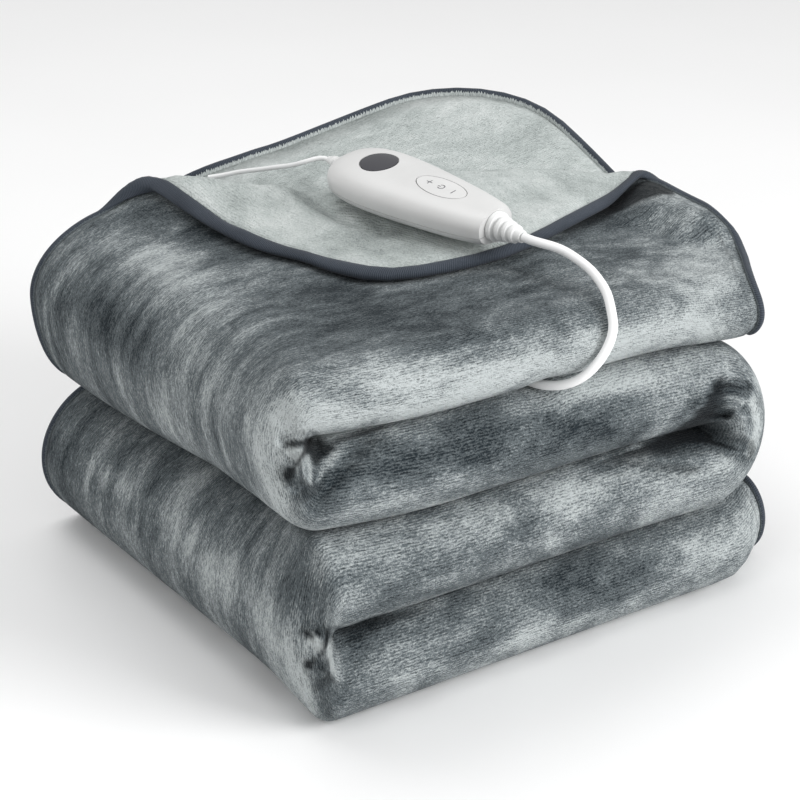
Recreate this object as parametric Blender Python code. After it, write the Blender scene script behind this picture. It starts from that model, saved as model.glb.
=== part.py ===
"""An electric throw blanket, folded into a stack of four bands, with its hand controller on top.

Metres, +Z up. The stack stands on z = 0 with the middle of its footprint over the origin. The blanket is
one sheet. It is folded in four across its width, which makes a strip of four layers, and the strip then
goes back and forth in four bands. The top layer's corner is turned back, light side up.

The sheet is laid out flat, in two lengths: `along`, from the top band's end to the bottom band's end, and a
row of profile nodes across. `strip_point` carries a point of the strip round the turns of the stack, and
`settle` gives the stack its sag. The binding is laid out on the same flat sheet, so it follows every fold.
"""
import math
from dataclasses import dataclass

import bpy
import numpy as np
from mathutils import Euler, Matrix


def smooth(value, start, end):
    """0 at and before start, 1 at and past end, and a soft step between; end may lie below start."""
    share = np.clip((np.asarray(value, dtype=float) - start) / (end - start), 0.0, 1.0)
    return share * share * (3.0 - 2.0 * share)


@dataclass(frozen=True)
class Give:
    """How the stack gives over one side or corner: an amount, and where it fades in along X and Y."""

    amount: float
    over_x: tuple[float, float]
    over_y: tuple[float, float]

    def at(self, x, y):
        return self.amount * smooth(x, *self.over_x) * smooth(y, *self.over_y)


@dataclass(frozen=True)
class Mound:
    """A round rise, or a dent, in the stack's top: its middle, its spread along X and Y, its height."""

    middle: tuple[float, float]
    spread: tuple[float, float]
    height: float

    def at(self, x, y):
        away = ((x - self.middle[0]) / self.spread[0]) ** 2 + ((y - self.middle[1]) / self.spread[1]) ** 2
        return self.height * np.exp(-away)


# The folded stack
STACK_DEPTH = 0.360      # along X, from the two left turns to the right turn
STACK_WIDTH = 0.331      # along Y, from the lengthwise folds to the free edges
CLOTH = 0.0095           # thickness of the plush with its wires, as it lies
LAYER_PITCH = 0.0155     # from one layer to the next inside a band
BAND_GAP = 0.002         # between two bands
STRIP = 3 * LAYER_PITCH + CLOTH
BAND_PITCH = STRIP + BAND_GAP
TURN_TIGHT = 0.012       # a turn is round up to this radius, and flattened beyond it
TURN_FLAT = 0.75
RIGHT_SHY = 0.020        # the right turn stops this far short of the bands above and below it
TOP_PRESS = 0.74         # the top band's thickness, as a share of the others'
CORNER_RADIUS = 0.080    # of the blanket's corners, laid flat
CORNER_TURNS = (0, 30, 50, 70, 90)   # degrees round a corner, one station each
EDGE_THIN = 0.72         # the cloth's thickness at its bound edge, as a share of CLOTH

# The lengthwise folds, as places across the strip
OUTER_RADIUS = (STRIP - CLOTH) / 2
OUTER_CENTRE = STRIP / 2
INNER_RADIUS = LAYER_PITCH / 2
INNER_CENTRE = OUTER_CENTRE
BACK_SHY = 0.004         # the back folds stop this far short of the free edges
BACK_CENTRE = STACK_WIDTH - INNER_RADIUS - CLOTH / 2 - BACK_SHY
BINDING_REACH = 0.0069   # how far the binding stands out from the cloth's edge
FREE_EDGE = STACK_WIDTH - BINDING_REACH

# The corner of the top layer that is turned back: its crease, seen from above
CREASE_START = (0.045, STACK_WIDTH)
CREASE_END = (0.352, 0.147)
CREASE_RADIUS = 0.0078
CREASE_SPREAD = (0.120, 0.053, 8)  # stations where the crease begins, as places along X
FLAP_SKEW = 0.50         # the turned-back corner's slide along -X, for each metre from the crease
FLAP_PULL = 1.13         # and how much further than its own length it is drawn over
FLAP_SAG = 0.0045        # the turned-back corner lies this much lower than its crease
FLAP_SAG_OVER = 0.09     # this far from it
FLAP_LEAST = 0.010       # a station's free edge lies at least this far beyond the crease
CREASE_BOW = 0.026       # the crease sags this far toward the near corner, under the controller
CREASE_BOW_SPAN = 0.300  # along the crease
CREASE_BOW_FADE = 0.110  # and across it

# How the folded stack gives. A share makes its heights less or more; the rest are lengths.
LEFT_DROOP = Give(0.22, (0.22, -0.05), (-0.02, 0.31))
LEFT_DROOP_ON_TOP = 0.36          # of it, in the top band
RIGHT_SINK = Give(0.05, (0.22, 0.38), (0.34, 0.05))
RIGHT_RISE = Give(0.06, (0.12, 0.36), (0.10, 0.34))
NEAR_LIFT = Give(0.012, (0.11, 0.0), (0.10, 0.0))
NEAR_LIFT_ON_TOP = 0.30
LOBE_BULGE = Give(0.016, (0.16, 0.0), (0.14, 0.0))
LOBE_BLEND = 0.3 * BAND_PITCH     # it fades in over this height, each way
HUB_PRESS = Give(0.020, (0.0, 0.045), (0.09, 0.0))
HUB_END = (0.125, 0.045)
END_PULL = Give(0.038, (0.22, 0.37), (0.075, 0.0))
END_TUCK = Give(0.030, (0.31, 0.365), (0.35, -0.10))
CORNER_LIFT = 0.034               # how high layer two's free corner stands above its rest
CORNER_LIFT_OVER = 0.150
CREST = Mound((0.115, 0.335), (0.055, 0.080), 0.020)
NEST = (
    Mound((0.120, 0.170), (0.055, 0.055), -0.0035),
    Mound((0.212, 0.190), (0.050, 0.050), 0.0065),
)

# The way of the mains cord between the two top bands
TROUGH_X = 0.165
TROUGH_DEPTH = 0.0027    # how far it pushes each band
TROUGH_HALF = 0.018

# The binding tape, and the gap between touching pieces
BINDING_HALF = 0.0043    # half its thickness
BINDING_SECTION = (      # how far out, share of the half thickness: from its sewn edge to its middle
    (0.0008, 0.90),
    (0.0024, 1.00),
    (0.0054, 0.70),
    (BINDING_REACH, 0.00),
)
CLEAR = 0.0003

# The hand controller, in its own frame: +X from the lead's end to the mains end, +Z up
CONTROLLER_PLACE = (0.1708, 0.2278, 0.2445)
CONTROLLER_TURN = (9.0, 2.5, -80.0)    # degrees: roll, nose down, heading
SHELL_SPLIT = -0.0030    # where the two shells meet
SHELL_POWER = 2.5        # the roundness of its cross section
SHELL_OUTLINE = (        # place along, half width, half height
    (0.0000, 0.0066, 0.0050),
    (0.0020, 0.0124, 0.0070),
    (0.0058, 0.0178, 0.0092),
    (0.0132, 0.0230, 0.0113),
    (0.0250, 0.0260, 0.0126),
    (0.0400, 0.0270, 0.0130),
    (0.0570, 0.0264, 0.0129),
    (0.0760, 0.0247, 0.0125),
    (0.0950, 0.0224, 0.0120),
    (0.1120, 0.0199, 0.0114),
    (0.1240, 0.0173, 0.0108),
    (0.1300, 0.0152, 0.0102),
    (0.1320, 0.0139, 0.0099),
)
SHELL_SIDES = 12         # steps round each shell's curve
WINDOW_AT = 0.0350
WINDOW_RADIUS = 0.0118
PAD_AT = 0.0885
PAD_HALF = (0.0190, 0.0090)
INSET_STEPS = 32         # round the window's and the pad's rims
INSET_DEPTH = 0.0012     # of the window's and the pad's seats, below the shell's lowest point there
CUTTER_TOP = 0.03        # above the whole controller

# The strain reliefs, as turned outlines from the controller outward: place along, radius
MAINS_BOOT = (
    (0.0000, 0.0094),
    (0.0028, 0.0092),
    (0.0034, 0.0062),
    (0.0052, 0.0061),
    (0.0058, 0.0078),
    (0.0078, 0.0075),
    (0.0084, 0.0054),
    (0.0100, 0.0053),
    (0.0106, 0.0068),
    (0.0124, 0.0065),
    (0.0130, 0.0048),
    (0.0144, 0.0047),
    (0.0150, 0.0058),
    (0.0168, 0.0055),
    (0.0174, 0.0044),
    (0.0215, 0.0038),
)
LEAD_BOOT = (
    (0.0000, 0.0046),
    (0.0024, 0.0044),
    (0.0030, 0.0034),
    (0.0046, 0.0033),
    (0.0052, 0.0039),
    (0.0072, 0.0037),
    (0.0078, 0.0030),
    (0.0115, 0.0024),
)
BOOT_SIDES = 16

# The cords
MAINS_CORD = 0.0055
HEATER_LEAD = 0.0030
CORD_STEP = 2.6          # diameters between two points of a cord's curve
MAINS_ROUTE = (          # x, y, z: from the boot, over the fold, between the two top bands, to the coil
    (0.1976, 0.0757, 0.2377),
    (0.1988, 0.0690, 0.2374),
    (0.2022, 0.0617, 0.2368),
    (0.2072, 0.0535, 0.2352),
    (0.2110, 0.0431, 0.2318),
    (0.2130, 0.0330, 0.2280),
    (0.2128, 0.0240, 0.2240),
    (0.2105, 0.0140, 0.2195),
    (0.2068, 0.0055, 0.2135),
    (0.2030, -0.0014, 0.2058),
    (0.1970, -0.0042, 0.1965),
    (0.1890, -0.0036, 0.1870),
    (0.1810, 0.0010, 0.1790),
    (0.1735, 0.0095, 0.1742),
    (0.1675, 0.0200, 0.1728),
    (0.1652, 0.0340, 0.1726),
    (0.1650, 0.0800, 0.1723),
    (0.1650, 0.1600, 0.1720),
    (0.1650, 0.2400, 0.1720),
    (0.1650, 0.2800, 0.1722),
    (0.1650, 0.3100, 0.1726),
    (0.1650, 0.3270, 0.1728),
    (0.1652, 0.3464, 0.1674),
    (0.1656, 0.3594, 0.1500),
    (0.1662, 0.3620, 0.1100),
    (0.1672, 0.3620, 0.0700),
    (0.1688, 0.3660, 0.0400),
    (0.1706, 0.3775, 0.0200),
    (0.1718, 0.3930, 0.0120),
    (0.1722, 0.4100, 0.0108),
)
HEATER_ROUTE = (         # from the lead's boot over layer two to the hem
    (0.1686, 0.2403, 0.2449),
    (0.1674, 0.2442, 0.2450),
    (0.1600, 0.2500, 0.2430),
    (0.1545, 0.2600, 0.2385),
    (0.1510, 0.2720, 0.2345),
    (0.1465, 0.2870, 0.2295),
    (0.1400, 0.3010, 0.2252),
    (0.1330, 0.3110, 0.2215),
    (0.1262, 0.3178, 0.2194),
)

# The mains cord's spare length, coiled on the floor behind the stack, and the plug at its end
COIL_CENTRE = (0.2168, 0.4100, 0.0108)
COIL_RADIUS = 0.0330     # at the middle of its turns
COIL_THICK = 0.0083      # radius of the bundle
COIL_STEPS = (24, 10)
TIE_INNER = 0.0090
TIE_OUTER = 0.0104
TIE_WIDTH = 0.0080
TAIL_ROUTE = (
    (0.2614, 0.4100, 0.0108),
    (0.2616, 0.3980, 0.0088),
    (0.2646, 0.3850, 0.0050),
    (0.2726, 0.3740, 0.0040),
    (0.2826, 0.3689, 0.0072),
    (0.2912, 0.3671, 0.0089),
    (0.2975, 0.3660, 0.0090),
)
PLUG_PLACE = (0.2980, 0.3659, 0.0090)
PLUG_HEADING = -10.0     # degrees from +X
PLUG_OUTLINE = (         # place along, half width, half height
    (0.0000, 0.0038, 0.0038),
    (0.0110, 0.0052, 0.0050),
    (0.0140, 0.0078, 0.0066),
    (0.0190, 0.0116, 0.0080),
    (0.0260, 0.0126, 0.0086),
    (0.0400, 0.0124, 0.0085),
    (0.0420, 0.0114, 0.0076),
)
PLUG_SIDES = 16
PLUG_POWER = 0.7         # of the plug's cross section; less is squarer
BLADE_SIZE = (0.0165, 0.0015, 0.0063)
BLADE_SPREAD = 0.0127    # between the two blades

# Nodes of the sheet's grid
FLAP_STEPS = 4
CREASE_STEPS = 6
FRONT_STEPS = 4
OUTER_STEPS = 7
LAYER_STEPS = (5, 4, 6)  # layers four, three and two
FOLD_STEPS = 4
TURN_STEPS = 6
MIDDLE_STEPS = 5

MATERIALS = {
    "plush": ((0.115, 0.135, 0.145), 0.9, 0.0),
    "binding_tape": ((0.065, 0.078, 0.094), 0.85, 0.0),
    "white_shell": ((0.800, 0.800, 0.795), 0.42, 0.0),
    "dark_window": ((0.020, 0.020, 0.026), 0.18, 0.0),
    "white_pad": ((0.770, 0.770, 0.765), 0.50, 0.0),
    "boot_rubber": ((0.740, 0.745, 0.745), 0.55, 0.0),
    "cord_jacket": ((0.780, 0.785, 0.785), 0.48, 0.0),
    "plug_shell": ((0.780, 0.780, 0.775), 0.45, 0.0),
    "blade_brass": ((0.720, 0.560, 0.290), 0.28, 1.0),
}


def turn_reach(radius):
    """How far a layer at this radius reaches sideways in a turn of the strip."""
    radius = np.asarray(radius, dtype=float)
    return np.where(radius < TURN_TIGHT, radius, TURN_TIGHT + TURN_FLAT * (radius - TURN_TIGHT))


LEFT_TURN = float(turn_reach(BAND_GAP / 2 + STRIP))
RIGHT_TURN = STACK_DEPTH - RIGHT_SHY - LEFT_TURN
TURN_LENGTH = math.pi * (BAND_GAP / 2 + STRIP / 2)
BAND_END = STACK_DEPTH - BINDING_REACH
END_BAND = BAND_END - LEFT_TURN
MIDDLE_BAND = RIGHT_TURN - LEFT_TURN
RUNS = (END_BAND, TURN_LENGTH, MIDDLE_BAND, TURN_LENGTH, MIDDLE_BAND, TURN_LENGTH, END_BAND)
LENGTH = sum(RUNS)


def strip_point(along, across, height):
    """A point of the strip, carried round the turns of the stack.

    `height` is measured through the strip, from layer four's face to layer one's.
    """
    along = np.asarray(along, dtype=float)
    x = np.empty_like(along)
    z = np.empty_like(along)
    inner = BAND_GAP / 2
    start = 0.0
    for index, run in enumerate(RUNS):
        last = index == len(RUNS) - 1
        inside = (along >= start) | (index == 0)
        if not last:
            inside &= along < start + run
        here = along[inside] - start
        rise = height[inside]
        band = index // 2
        if index % 2 == 0:
            if band % 2 == 0:
                x[inside] = (BAND_END if band == 0 else RIGHT_TURN) - here
                z[inside] = (3 - band) * BAND_PITCH + rise
            else:
                x[inside] = LEFT_TURN + here
                z[inside] = (4 - band) * BAND_PITCH - 2 * inner - rise
        else:
            angle = math.pi * (0.5 + here / run)
            if band % 2 == 0:
                radius = inner + rise
                x[inside] = LEFT_TURN + turn_reach(radius) * np.cos(angle)
            else:
                radius = inner + STRIP - rise
                x[inside] = RIGHT_TURN - turn_reach(radius) * np.cos(angle)
            z[inside] = (3 - band) * BAND_PITCH - inner + radius * np.sin(angle)
        start += run
    return x, np.asarray(across, dtype=float), z


def crease_frame():
    """The crease's start, its direction and the direction across it to the blanket's corner."""
    start = np.array(CREASE_START)
    direction = np.array(CREASE_END) - start
    direction /= np.linalg.norm(direction)
    return start, direction, np.array([-direction[1], direction[0]])


def make_way(x, z):
    """Part the two top bands along the mains cord's way between them."""
    between = 3 * BAND_PITCH - BAND_GAP / 2
    side = np.where(z > between, 1.0, -1.0)
    fade = 1.0 - smooth(np.abs(z - between), 0.0, STRIP)
    groove = np.cos(math.pi / 2 * np.clip((x - TROUGH_X) / TROUGH_HALF, -1.0, 1.0)) ** 2
    return z + side * TROUGH_DEPTH * fade * groove


def settle(x, y, z):
    """The stack's own sag, as smooth shifts of its points.

    It droops at its left back corner and its right end, and stands high at its free corner and where the
    top layer's crease begins. The lobes' near corner is pressed thin, the top band's end is drawn back
    beside its fold, and the bottom band's end corner is tucked in.
    """
    second, third = 2 * BAND_PITCH, 3 * BAND_PITCH
    z = make_way(x, z)
    above = np.maximum(z - third, 0.0)
    layer_share = np.clip(above / STRIP, 0.0, 1.0)
    z = np.minimum(z, third) + TOP_PRESS * above
    droop_share = 1.0 - (1.0 - LEFT_DROOP_ON_TOP) * smooth(z, second, third)
    scale = 1.0 - droop_share * LEFT_DROOP.at(x, y) - RIGHT_SINK.at(x, y) + RIGHT_RISE.at(x, y)
    start, _, outward = crease_frame()
    beyond = (x - start[0]) * outward[0] + (y - start[1]) * outward[1]
    rise = CORNER_LIFT * np.sin(math.pi / 2 * np.clip(beyond / CORNER_LIFT_OVER, 0.0, 1.0))
    rise = rise * np.clip(above / (STRIP - LAYER_PITCH), 0.0, 1.0)
    rise += CREST.at(x, y) * layer_share ** 2
    rise += sum(mound.at(x, y) for mound in NEST) * layer_share
    on_top = 1.0 - (1.0 - NEAR_LIFT_ON_TOP) * smooth(z, third, 4 * BAND_PITCH)
    rise += NEAR_LIFT.at(x, y) * smooth(z, BAND_PITCH, second) * on_top
    draw = LOBE_BULGE.at(x, y) * smooth(z, second - LOBE_BLEND, second + LOBE_BLEND)
    draw += HUB_PRESS.at(x, y) * smooth(x, *HUB_END)
    draw += END_PULL.at(x, y) * smooth(z, third - BAND_GAP, third)
    tuck = END_TUCK.at(x, y) * smooth(z, BAND_PITCH, BAND_PITCH - BAND_GAP)
    return x - draw, y + tuck, z * scale + rise


def turn_back(along, across, height, lift):
    """Layer one, with the corner beyond the crease turned back over it."""
    start, direction, outward = crease_frame()
    x = BAND_END - along
    beyond = (x - start[0]) * outward[0] + (across - start[1]) * outward[1]
    bend = math.pi * CREASE_RADIUS
    angle = np.clip(beyond / CREASE_RADIUS, 0.0, math.pi)
    radius = CREASE_RADIUS - lift
    over = np.maximum(beyond - bend, 0.0)
    reach = np.where(beyond <= 0.0, beyond, radius * np.sin(angle) - FLAP_PULL * over)
    passed = (x - start[0]) * direction[0] + (across - start[1]) * direction[1]
    bow = CREASE_BOW * np.sin(math.pi * np.clip(passed / CREASE_BOW_SPAN, 0.0, 1.0)) ** 2
    bow = bow * smooth(beyond, -CREASE_BOW_FADE, 0.0) * (1.0 - smooth(over, 0.0, CREASE_BOW_FADE))
    shift = reach - bow - beyond
    rise = height + CREASE_RADIUS - radius * np.cos(angle) - FLAP_SAG * smooth(over, 0.0, FLAP_SAG_OVER)
    return along - shift * outward[0] + FLAP_SKEW * over, across + shift * outward[1], rise


def corner_inset(along):
    """How far the free edge steps in at a station, where the sheet's corner is round."""
    from_end = np.minimum(along, LENGTH - along)
    short = np.clip(CORNER_RADIUS - from_end, 0.0, CORNER_RADIUS)
    return CORNER_RADIUS - np.sqrt(CORNER_RADIUS ** 2 - short ** 2)


def stations():
    """Places along the strip: closer round its end corners, its turns and the cord's way through."""
    corner = [CORNER_RADIUS * (1.0 - math.cos(math.radians(turn))) for turn in CORNER_TURNS]
    groove = TROUGH_HALF * np.array([-1.0, 0.0, 1.0])
    places = list(corner)
    places += list(np.linspace(CORNER_RADIUS, BAND_END - TROUGH_X - TROUGH_HALF, 5)[1:-1])
    places += list(BAND_END - TROUGH_X + groove)
    places += list(BAND_END - np.linspace(*CREASE_SPREAD))
    places.append(END_BAND)
    start = END_BAND
    places += list(start + np.linspace(0.0, TURN_LENGTH, TURN_STEPS + 1)[1:])
    start += TURN_LENGTH
    places += list(start + np.linspace(0.0, TROUGH_X - TROUGH_HALF - LEFT_TURN, 4)[1:-1])
    places += list(start + TROUGH_X - LEFT_TURN + groove)
    places += list(start + np.linspace(TROUGH_X + TROUGH_HALF - LEFT_TURN, MIDDLE_BAND, 4)[1:])
    start += MIDDLE_BAND
    places += list(start + np.linspace(0.0, TURN_LENGTH, TURN_STEPS + 1)[1:])
    start += TURN_LENGTH
    places += list(start + np.linspace(0.0, MIDDLE_BAND, MIDDLE_STEPS + 1)[1:])
    start += MIDDLE_BAND
    places += list(start + np.linspace(0.0, TURN_LENGTH, TURN_STEPS + 1)[1:])
    start += TURN_LENGTH
    places += list(np.linspace(start, LENGTH - CORNER_RADIUS, 6)[1:])
    places += [LENGTH - place for place in reversed(corner[:-1])]
    return np.array(places)


def layer_one(along):
    """Places across layer one at a station, from its free edge to the outer fold."""
    edge = FREE_EDGE - float(corner_inset(along))
    start, direction, outward = crease_frame()
    x = BAND_END - along
    bend = math.pi * CREASE_RADIUS / outward[1]
    crossing = start[1] + (x - start[0]) * direction[1] / direction[0]
    crossing = min(crossing, edge - bend - FLAP_LEAST)
    flap = np.linspace(edge, crossing + bend, FLAP_STEPS + 1)
    crease = np.linspace(crossing + bend, crossing, CREASE_STEPS + 1)[1:]
    front = np.linspace(crossing, OUTER_CENTRE, FRONT_STEPS + 1)[1:]
    on_crease = np.concatenate([flap, crease, front])
    even = np.linspace(edge, OUTER_CENTRE, len(on_crease))
    share = float(smooth(along, END_BAND - 0.02, END_BAND + TURN_LENGTH))
    return on_crease * (1.0 - share) + even * share


def profile(along):
    """The sheet's nodes across one station: (across, height, normal across, normal height) each.

    The row runs from layer one's free edge round the outer fold, layer four, the back fold, layer three
    and the inner fold to layer two's free edge. Its normal points to the dark side.
    """
    rows = []
    first = layer_one(along)
    for across in first:
        rows.append((across, STRIP - CLOTH / 2, 0.0, 1.0))
    for angle in np.linspace(90, 270, OUTER_STEPS + 1)[1:]:
        c, s = math.cos(math.radians(angle)), math.sin(math.radians(angle))
        rows.append((OUTER_CENTRE + OUTER_RADIUS * c, STRIP / 2 + OUTER_RADIUS * s, c, s))
    for across in np.linspace(OUTER_CENTRE, BACK_CENTRE, LAYER_STEPS[0] + 1)[1:]:
        rows.append((across, CLOTH / 2, 0.0, -1.0))
    back_height = CLOTH / 2 + LAYER_PITCH / 2
    for angle in np.linspace(-90, 90, FOLD_STEPS + 1)[1:]:
        c, s = math.cos(math.radians(angle)), math.sin(math.radians(angle))
        rows.append((BACK_CENTRE + INNER_RADIUS * c, back_height + INNER_RADIUS * s, c, s))
    for across in np.linspace(BACK_CENTRE, INNER_CENTRE, LAYER_STEPS[1] + 1)[1:]:
        rows.append((across, CLOTH / 2 + LAYER_PITCH, 0.0, 1.0))
    for angle in np.linspace(270, 90, FOLD_STEPS + 1)[1:]:
        c, s = math.cos(math.radians(angle)), math.sin(math.radians(angle))
        rows.append((INNER_CENTRE + INNER_RADIUS * c, STRIP / 2 + INNER_RADIUS * s, -c, -s))
    edge = FREE_EDGE - float(corner_inset(along))
    for across in np.linspace(INNER_CENTRE, edge, LAYER_STEPS[2] + 1)[1:]:
        rows.append((across, CLOTH / 2 + 2 * LAYER_PITCH, 0.0, -1.0))
    return np.array(rows), len(first)


def place(along, across, height, lift, on_top):
    """Carry flat points to the stack; those of layer one in the top band go round the crease first."""
    if np.any(on_top):
        moved = turn_back(along[on_top], across[on_top], height[on_top], lift[on_top])
        along, across, height = along.copy(), across.copy(), height.copy()
        along[on_top], across[on_top], height[on_top] = moved
    return np.stack(settle(*strip_point(along, across, height)), axis=1)


def sheet_grid():
    """Both skins of the sheet as arrays of points: station, node, xyz."""
    dark, light = [], []
    lines = stations()
    for along in lines:
        rows, first = profile(along)
        count = len(rows)
        edge_share = np.ones(count)
        edge_share[[0, -1]] = EDGE_THIN
        if along in (lines[0], lines[-1]):
            edge_share[:] = EDGE_THIN
        half = CLOTH / 2 * edge_share
        layer = np.arange(count) < first
        for skin, side in ((dark, 1.0), (light, -1.0)):
            lift = side * half
            across = np.where(layer, rows[:, 0], rows[:, 0] + rows[:, 2] * lift)
            height = np.where(layer, rows[:, 1], rows[:, 1] + rows[:, 3] * lift)
            stay = np.full(count, float(along))
            on_top = layer & (along < END_BAND + TURN_LENGTH)
            plain = layer & ~on_top
            height = np.where(plain, height + lift, height)
            skin.append(place(stay, across, height, lift, on_top))
    return np.array(dark), np.array(light)


def make_material(name):
    """A Principled material from the table of finishes."""
    colour, roughness, metallic = MATERIALS[name]
    material = bpy.data.materials.new(name)
    material.use_nodes = True
    shader = material.node_tree.nodes["Principled BSDF"]
    shader.inputs["Base Color"].default_value = (*colour, 1.0)
    shader.inputs["Roughness"].default_value = roughness
    shader.inputs["Metallic"].default_value = metallic
    return material


def add_mesh(name, points, faces, material):
    """A new object from points and faces, linked to the scene."""
    mesh = bpy.data.meshes.new(name)
    mesh.from_pydata([tuple(map(float, point)) for point in points], [], faces)
    mesh.update()
    piece = bpy.data.objects.new(name, mesh)
    bpy.context.scene.collection.objects.link(piece)
    mesh.materials.append(make_material(material))
    mesh.shade_smooth()
    return piece


def ring_faces(rings, sides, closed=False):
    """Faces between rings of points, which turn left round the way they follow; closed joins the ends."""
    faces = []
    for ring in range(rings if closed else rings - 1):
        after = (ring + 1) % rings
        for side in range(sides):
            beside = (side + 1) % sides
            here, there = ring * sides, after * sides
            faces.append((there + beside, there + side, here + side, here + beside))
    return faces


def end_faces(rings, sides):
    """The two faces that close a row of rings."""
    last = (rings - 1) * sides
    return [tuple(range(sides))[::-1], tuple(range(last, last + sides))]


def add_cloth():
    """The blanket's cloth: one closed solid from the two skins and the rim round them."""
    dark, light = sheet_grid()
    rows, columns, _ = dark.shape
    points = np.concatenate([dark.reshape(-1, 3), light.reshape(-1, 3)])
    under = rows * columns

    def top(row, column):
        return row * columns + column

    faces = []
    for row in range(rows - 1):
        for column in range(columns - 1):
            a, b = top(row, column), top(row, column + 1)
            c, d = top(row + 1, column + 1), top(row + 1, column)
            faces.append((a, d, c, b))
            faces.append((under + a, under + b, under + c, under + d))
    rim = [top(0, column) for column in range(columns)]
    rim += [top(row, columns - 1) for row in range(1, rows)]
    rim += [top(rows - 1, column) for column in range(columns - 2, -1, -1)]
    rim += [top(row, 0) for row in range(rows - 2, 0, -1)]
    for here, there in zip(rim, rim[1:] + rim[:1]):
        faces.append((here, there, under + there, under + here))
    return add_mesh("blanket_cloth", points, faces, "plush")


def edge_frames():
    """The bound edge, once round the flat sheet, as (along, row, outward along, outward across) tuples.

    A row is (across, height, normal across, normal height, is layer one). The normal is the dark side's.
    """
    frames = []
    lines = stations()
    corner_line = FREE_EDGE - CORNER_RADIUS

    def free_edge(along, column):
        rows, _ = profile(along)
        row = (*rows[column], column == 0)
        from_end = min(along, LENGTH - along)
        if from_end >= CORNER_RADIUS:
            return along, row, 0.0, 1.0
        ahead = (from_end - CORNER_RADIUS) / CORNER_RADIUS
        side = -1.0 if along < LENGTH / 2 else 1.0
        return along, row, -side * ahead, (rows[column][0] - corner_line) / CORNER_RADIUS

    for along in lines[::-1]:
        frames.append(free_edge(float(along), 0))
    rows, first = profile(0.0)
    for column in range(1, len(rows) - 1):
        frames.append((0.0, (*rows[column], column < first), -1.0, 0.0))
    for along in lines:
        frames.append(free_edge(float(along), -1))
    rows, first = profile(float(lines[-1]))
    for column in range(len(rows) - 2, 0, -1):
        frames.append((float(lines[-1]), (*rows[column], column < first), 1.0, 0.0))
    return frames


def add_binding():
    """The binding tape: one D-shaped band sewn round the whole edge of the sheet."""
    section = [(out, -share * BINDING_HALF) for out, share in BINDING_SECTION]
    section += [(out, share * BINDING_HALF) for out, share in reversed(BINDING_SECTION[:-1])]
    points = []
    frames = edge_frames()
    for along, (across, height, normal_across, normal_height, first_layer), out_along, out_across in frames:
        for out, lift in section:
            here = along + out * out_along
            on_top = first_layer and along < END_BAND + TURN_LENGTH
            side = 0.0 if on_top else lift
            place_across = across + out * out_across + normal_across * side
            place_height = height + normal_height * side
            flat = [np.array([value]) for value in (here, place_across, place_height, lift)]
            points.append(place(*flat, np.array([on_top]))[0])
    faces = ring_faces(len(frames), len(section), closed=True)
    return add_mesh("blanket_binding", points, faces, "binding_tape")


def controller_frame():
    """The controller's place on the stack, as a matrix."""
    turn = Euler([math.radians(angle) for angle in CONTROLLER_TURN]).to_matrix().to_4x4()
    return Matrix.Translation(CONTROLLER_PLACE) @ turn


def shell_size(along):
    """The controller's half width and half height at a place along it."""
    places, widths, heights = zip(*SHELL_OUTLINE)
    return float(np.interp(along, places, widths)), float(np.interp(along, places, heights))


def shell_top(along, across):
    """The height of the controller's top over a place of its own plan."""
    width, height = shell_size(along)
    share = min(abs(across) / width, 0.999)
    return height * (1.0 - share ** SHELL_POWER) ** (1.0 / SHELL_POWER)


def add_shell(name, side):
    """One of the controller's two shells: side is 1 for the upper one and -1 for the lower one."""
    level = SHELL_SPLIT + side * CLEAR / 2
    points = []
    size = SHELL_SIDES + 1
    for along, width, height in SHELL_OUTLINE:
        start = math.asin(np.sign(level) * (abs(level) / height) ** (SHELL_POWER / 2))
        first, last = (start, math.pi - start) if side > 0 else (start, -math.pi - start)
        for angle in np.linspace(first, last, size):
            c, sine = math.cos(angle), math.sin(angle)
            across = width * math.copysign(abs(c) ** (2 / SHELL_POWER), c)
            up = height * math.copysign(abs(sine) ** (2 / SHELL_POWER), sine)
            points.append((along, across, up))
    faces = ring_faces(len(SHELL_OUTLINE), size) + end_faces(len(SHELL_OUTLINE), size)
    if side < 0:
        faces = [face[::-1] for face in faces]
    shell = add_mesh(name, points, faces, "white_shell")
    shell.matrix_world = controller_frame()
    shell.data.set_sharp_from_angle(angle=math.radians(40))
    return shell


def oval(half_length, half_width, steps):
    """Points once round an oval."""
    turns = [2 * math.pi * step / steps for step in range(steps)]
    return [(half_length * math.cos(turn), half_width * math.sin(turn)) for turn in turns]


def seat_floor(at, halves):
    """The level of a seat's floor under the lowest edge of what sits in it."""
    rim = [shell_top(at + along, across) for along, across in oval(*halves, INSET_STEPS)]
    return min(rim) - INSET_DEPTH


def cut_seat(shell, name, at, halves):
    """Sink an oval seat into the upper shell."""
    floor = seat_floor(at, halves)
    ring = oval(halves[0] + CLEAR, halves[1] + CLEAR, INSET_STEPS)
    points = [(at + along, across, level) for level in (floor, CUTTER_TOP) for along, across in ring]
    faces = ring_faces(2, INSET_STEPS) + end_faces(2, INSET_STEPS)
    cutter = add_mesh(name, points, faces, "white_shell")
    cutter.matrix_world = controller_frame()
    cutter.hide_render = True
    cutter.display_type = "WIRE"
    cut = shell.modifiers.new(name, "BOOLEAN")
    cut.operation = "DIFFERENCE"
    cut.solver = "EXACT"
    cut.object = cutter


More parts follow.
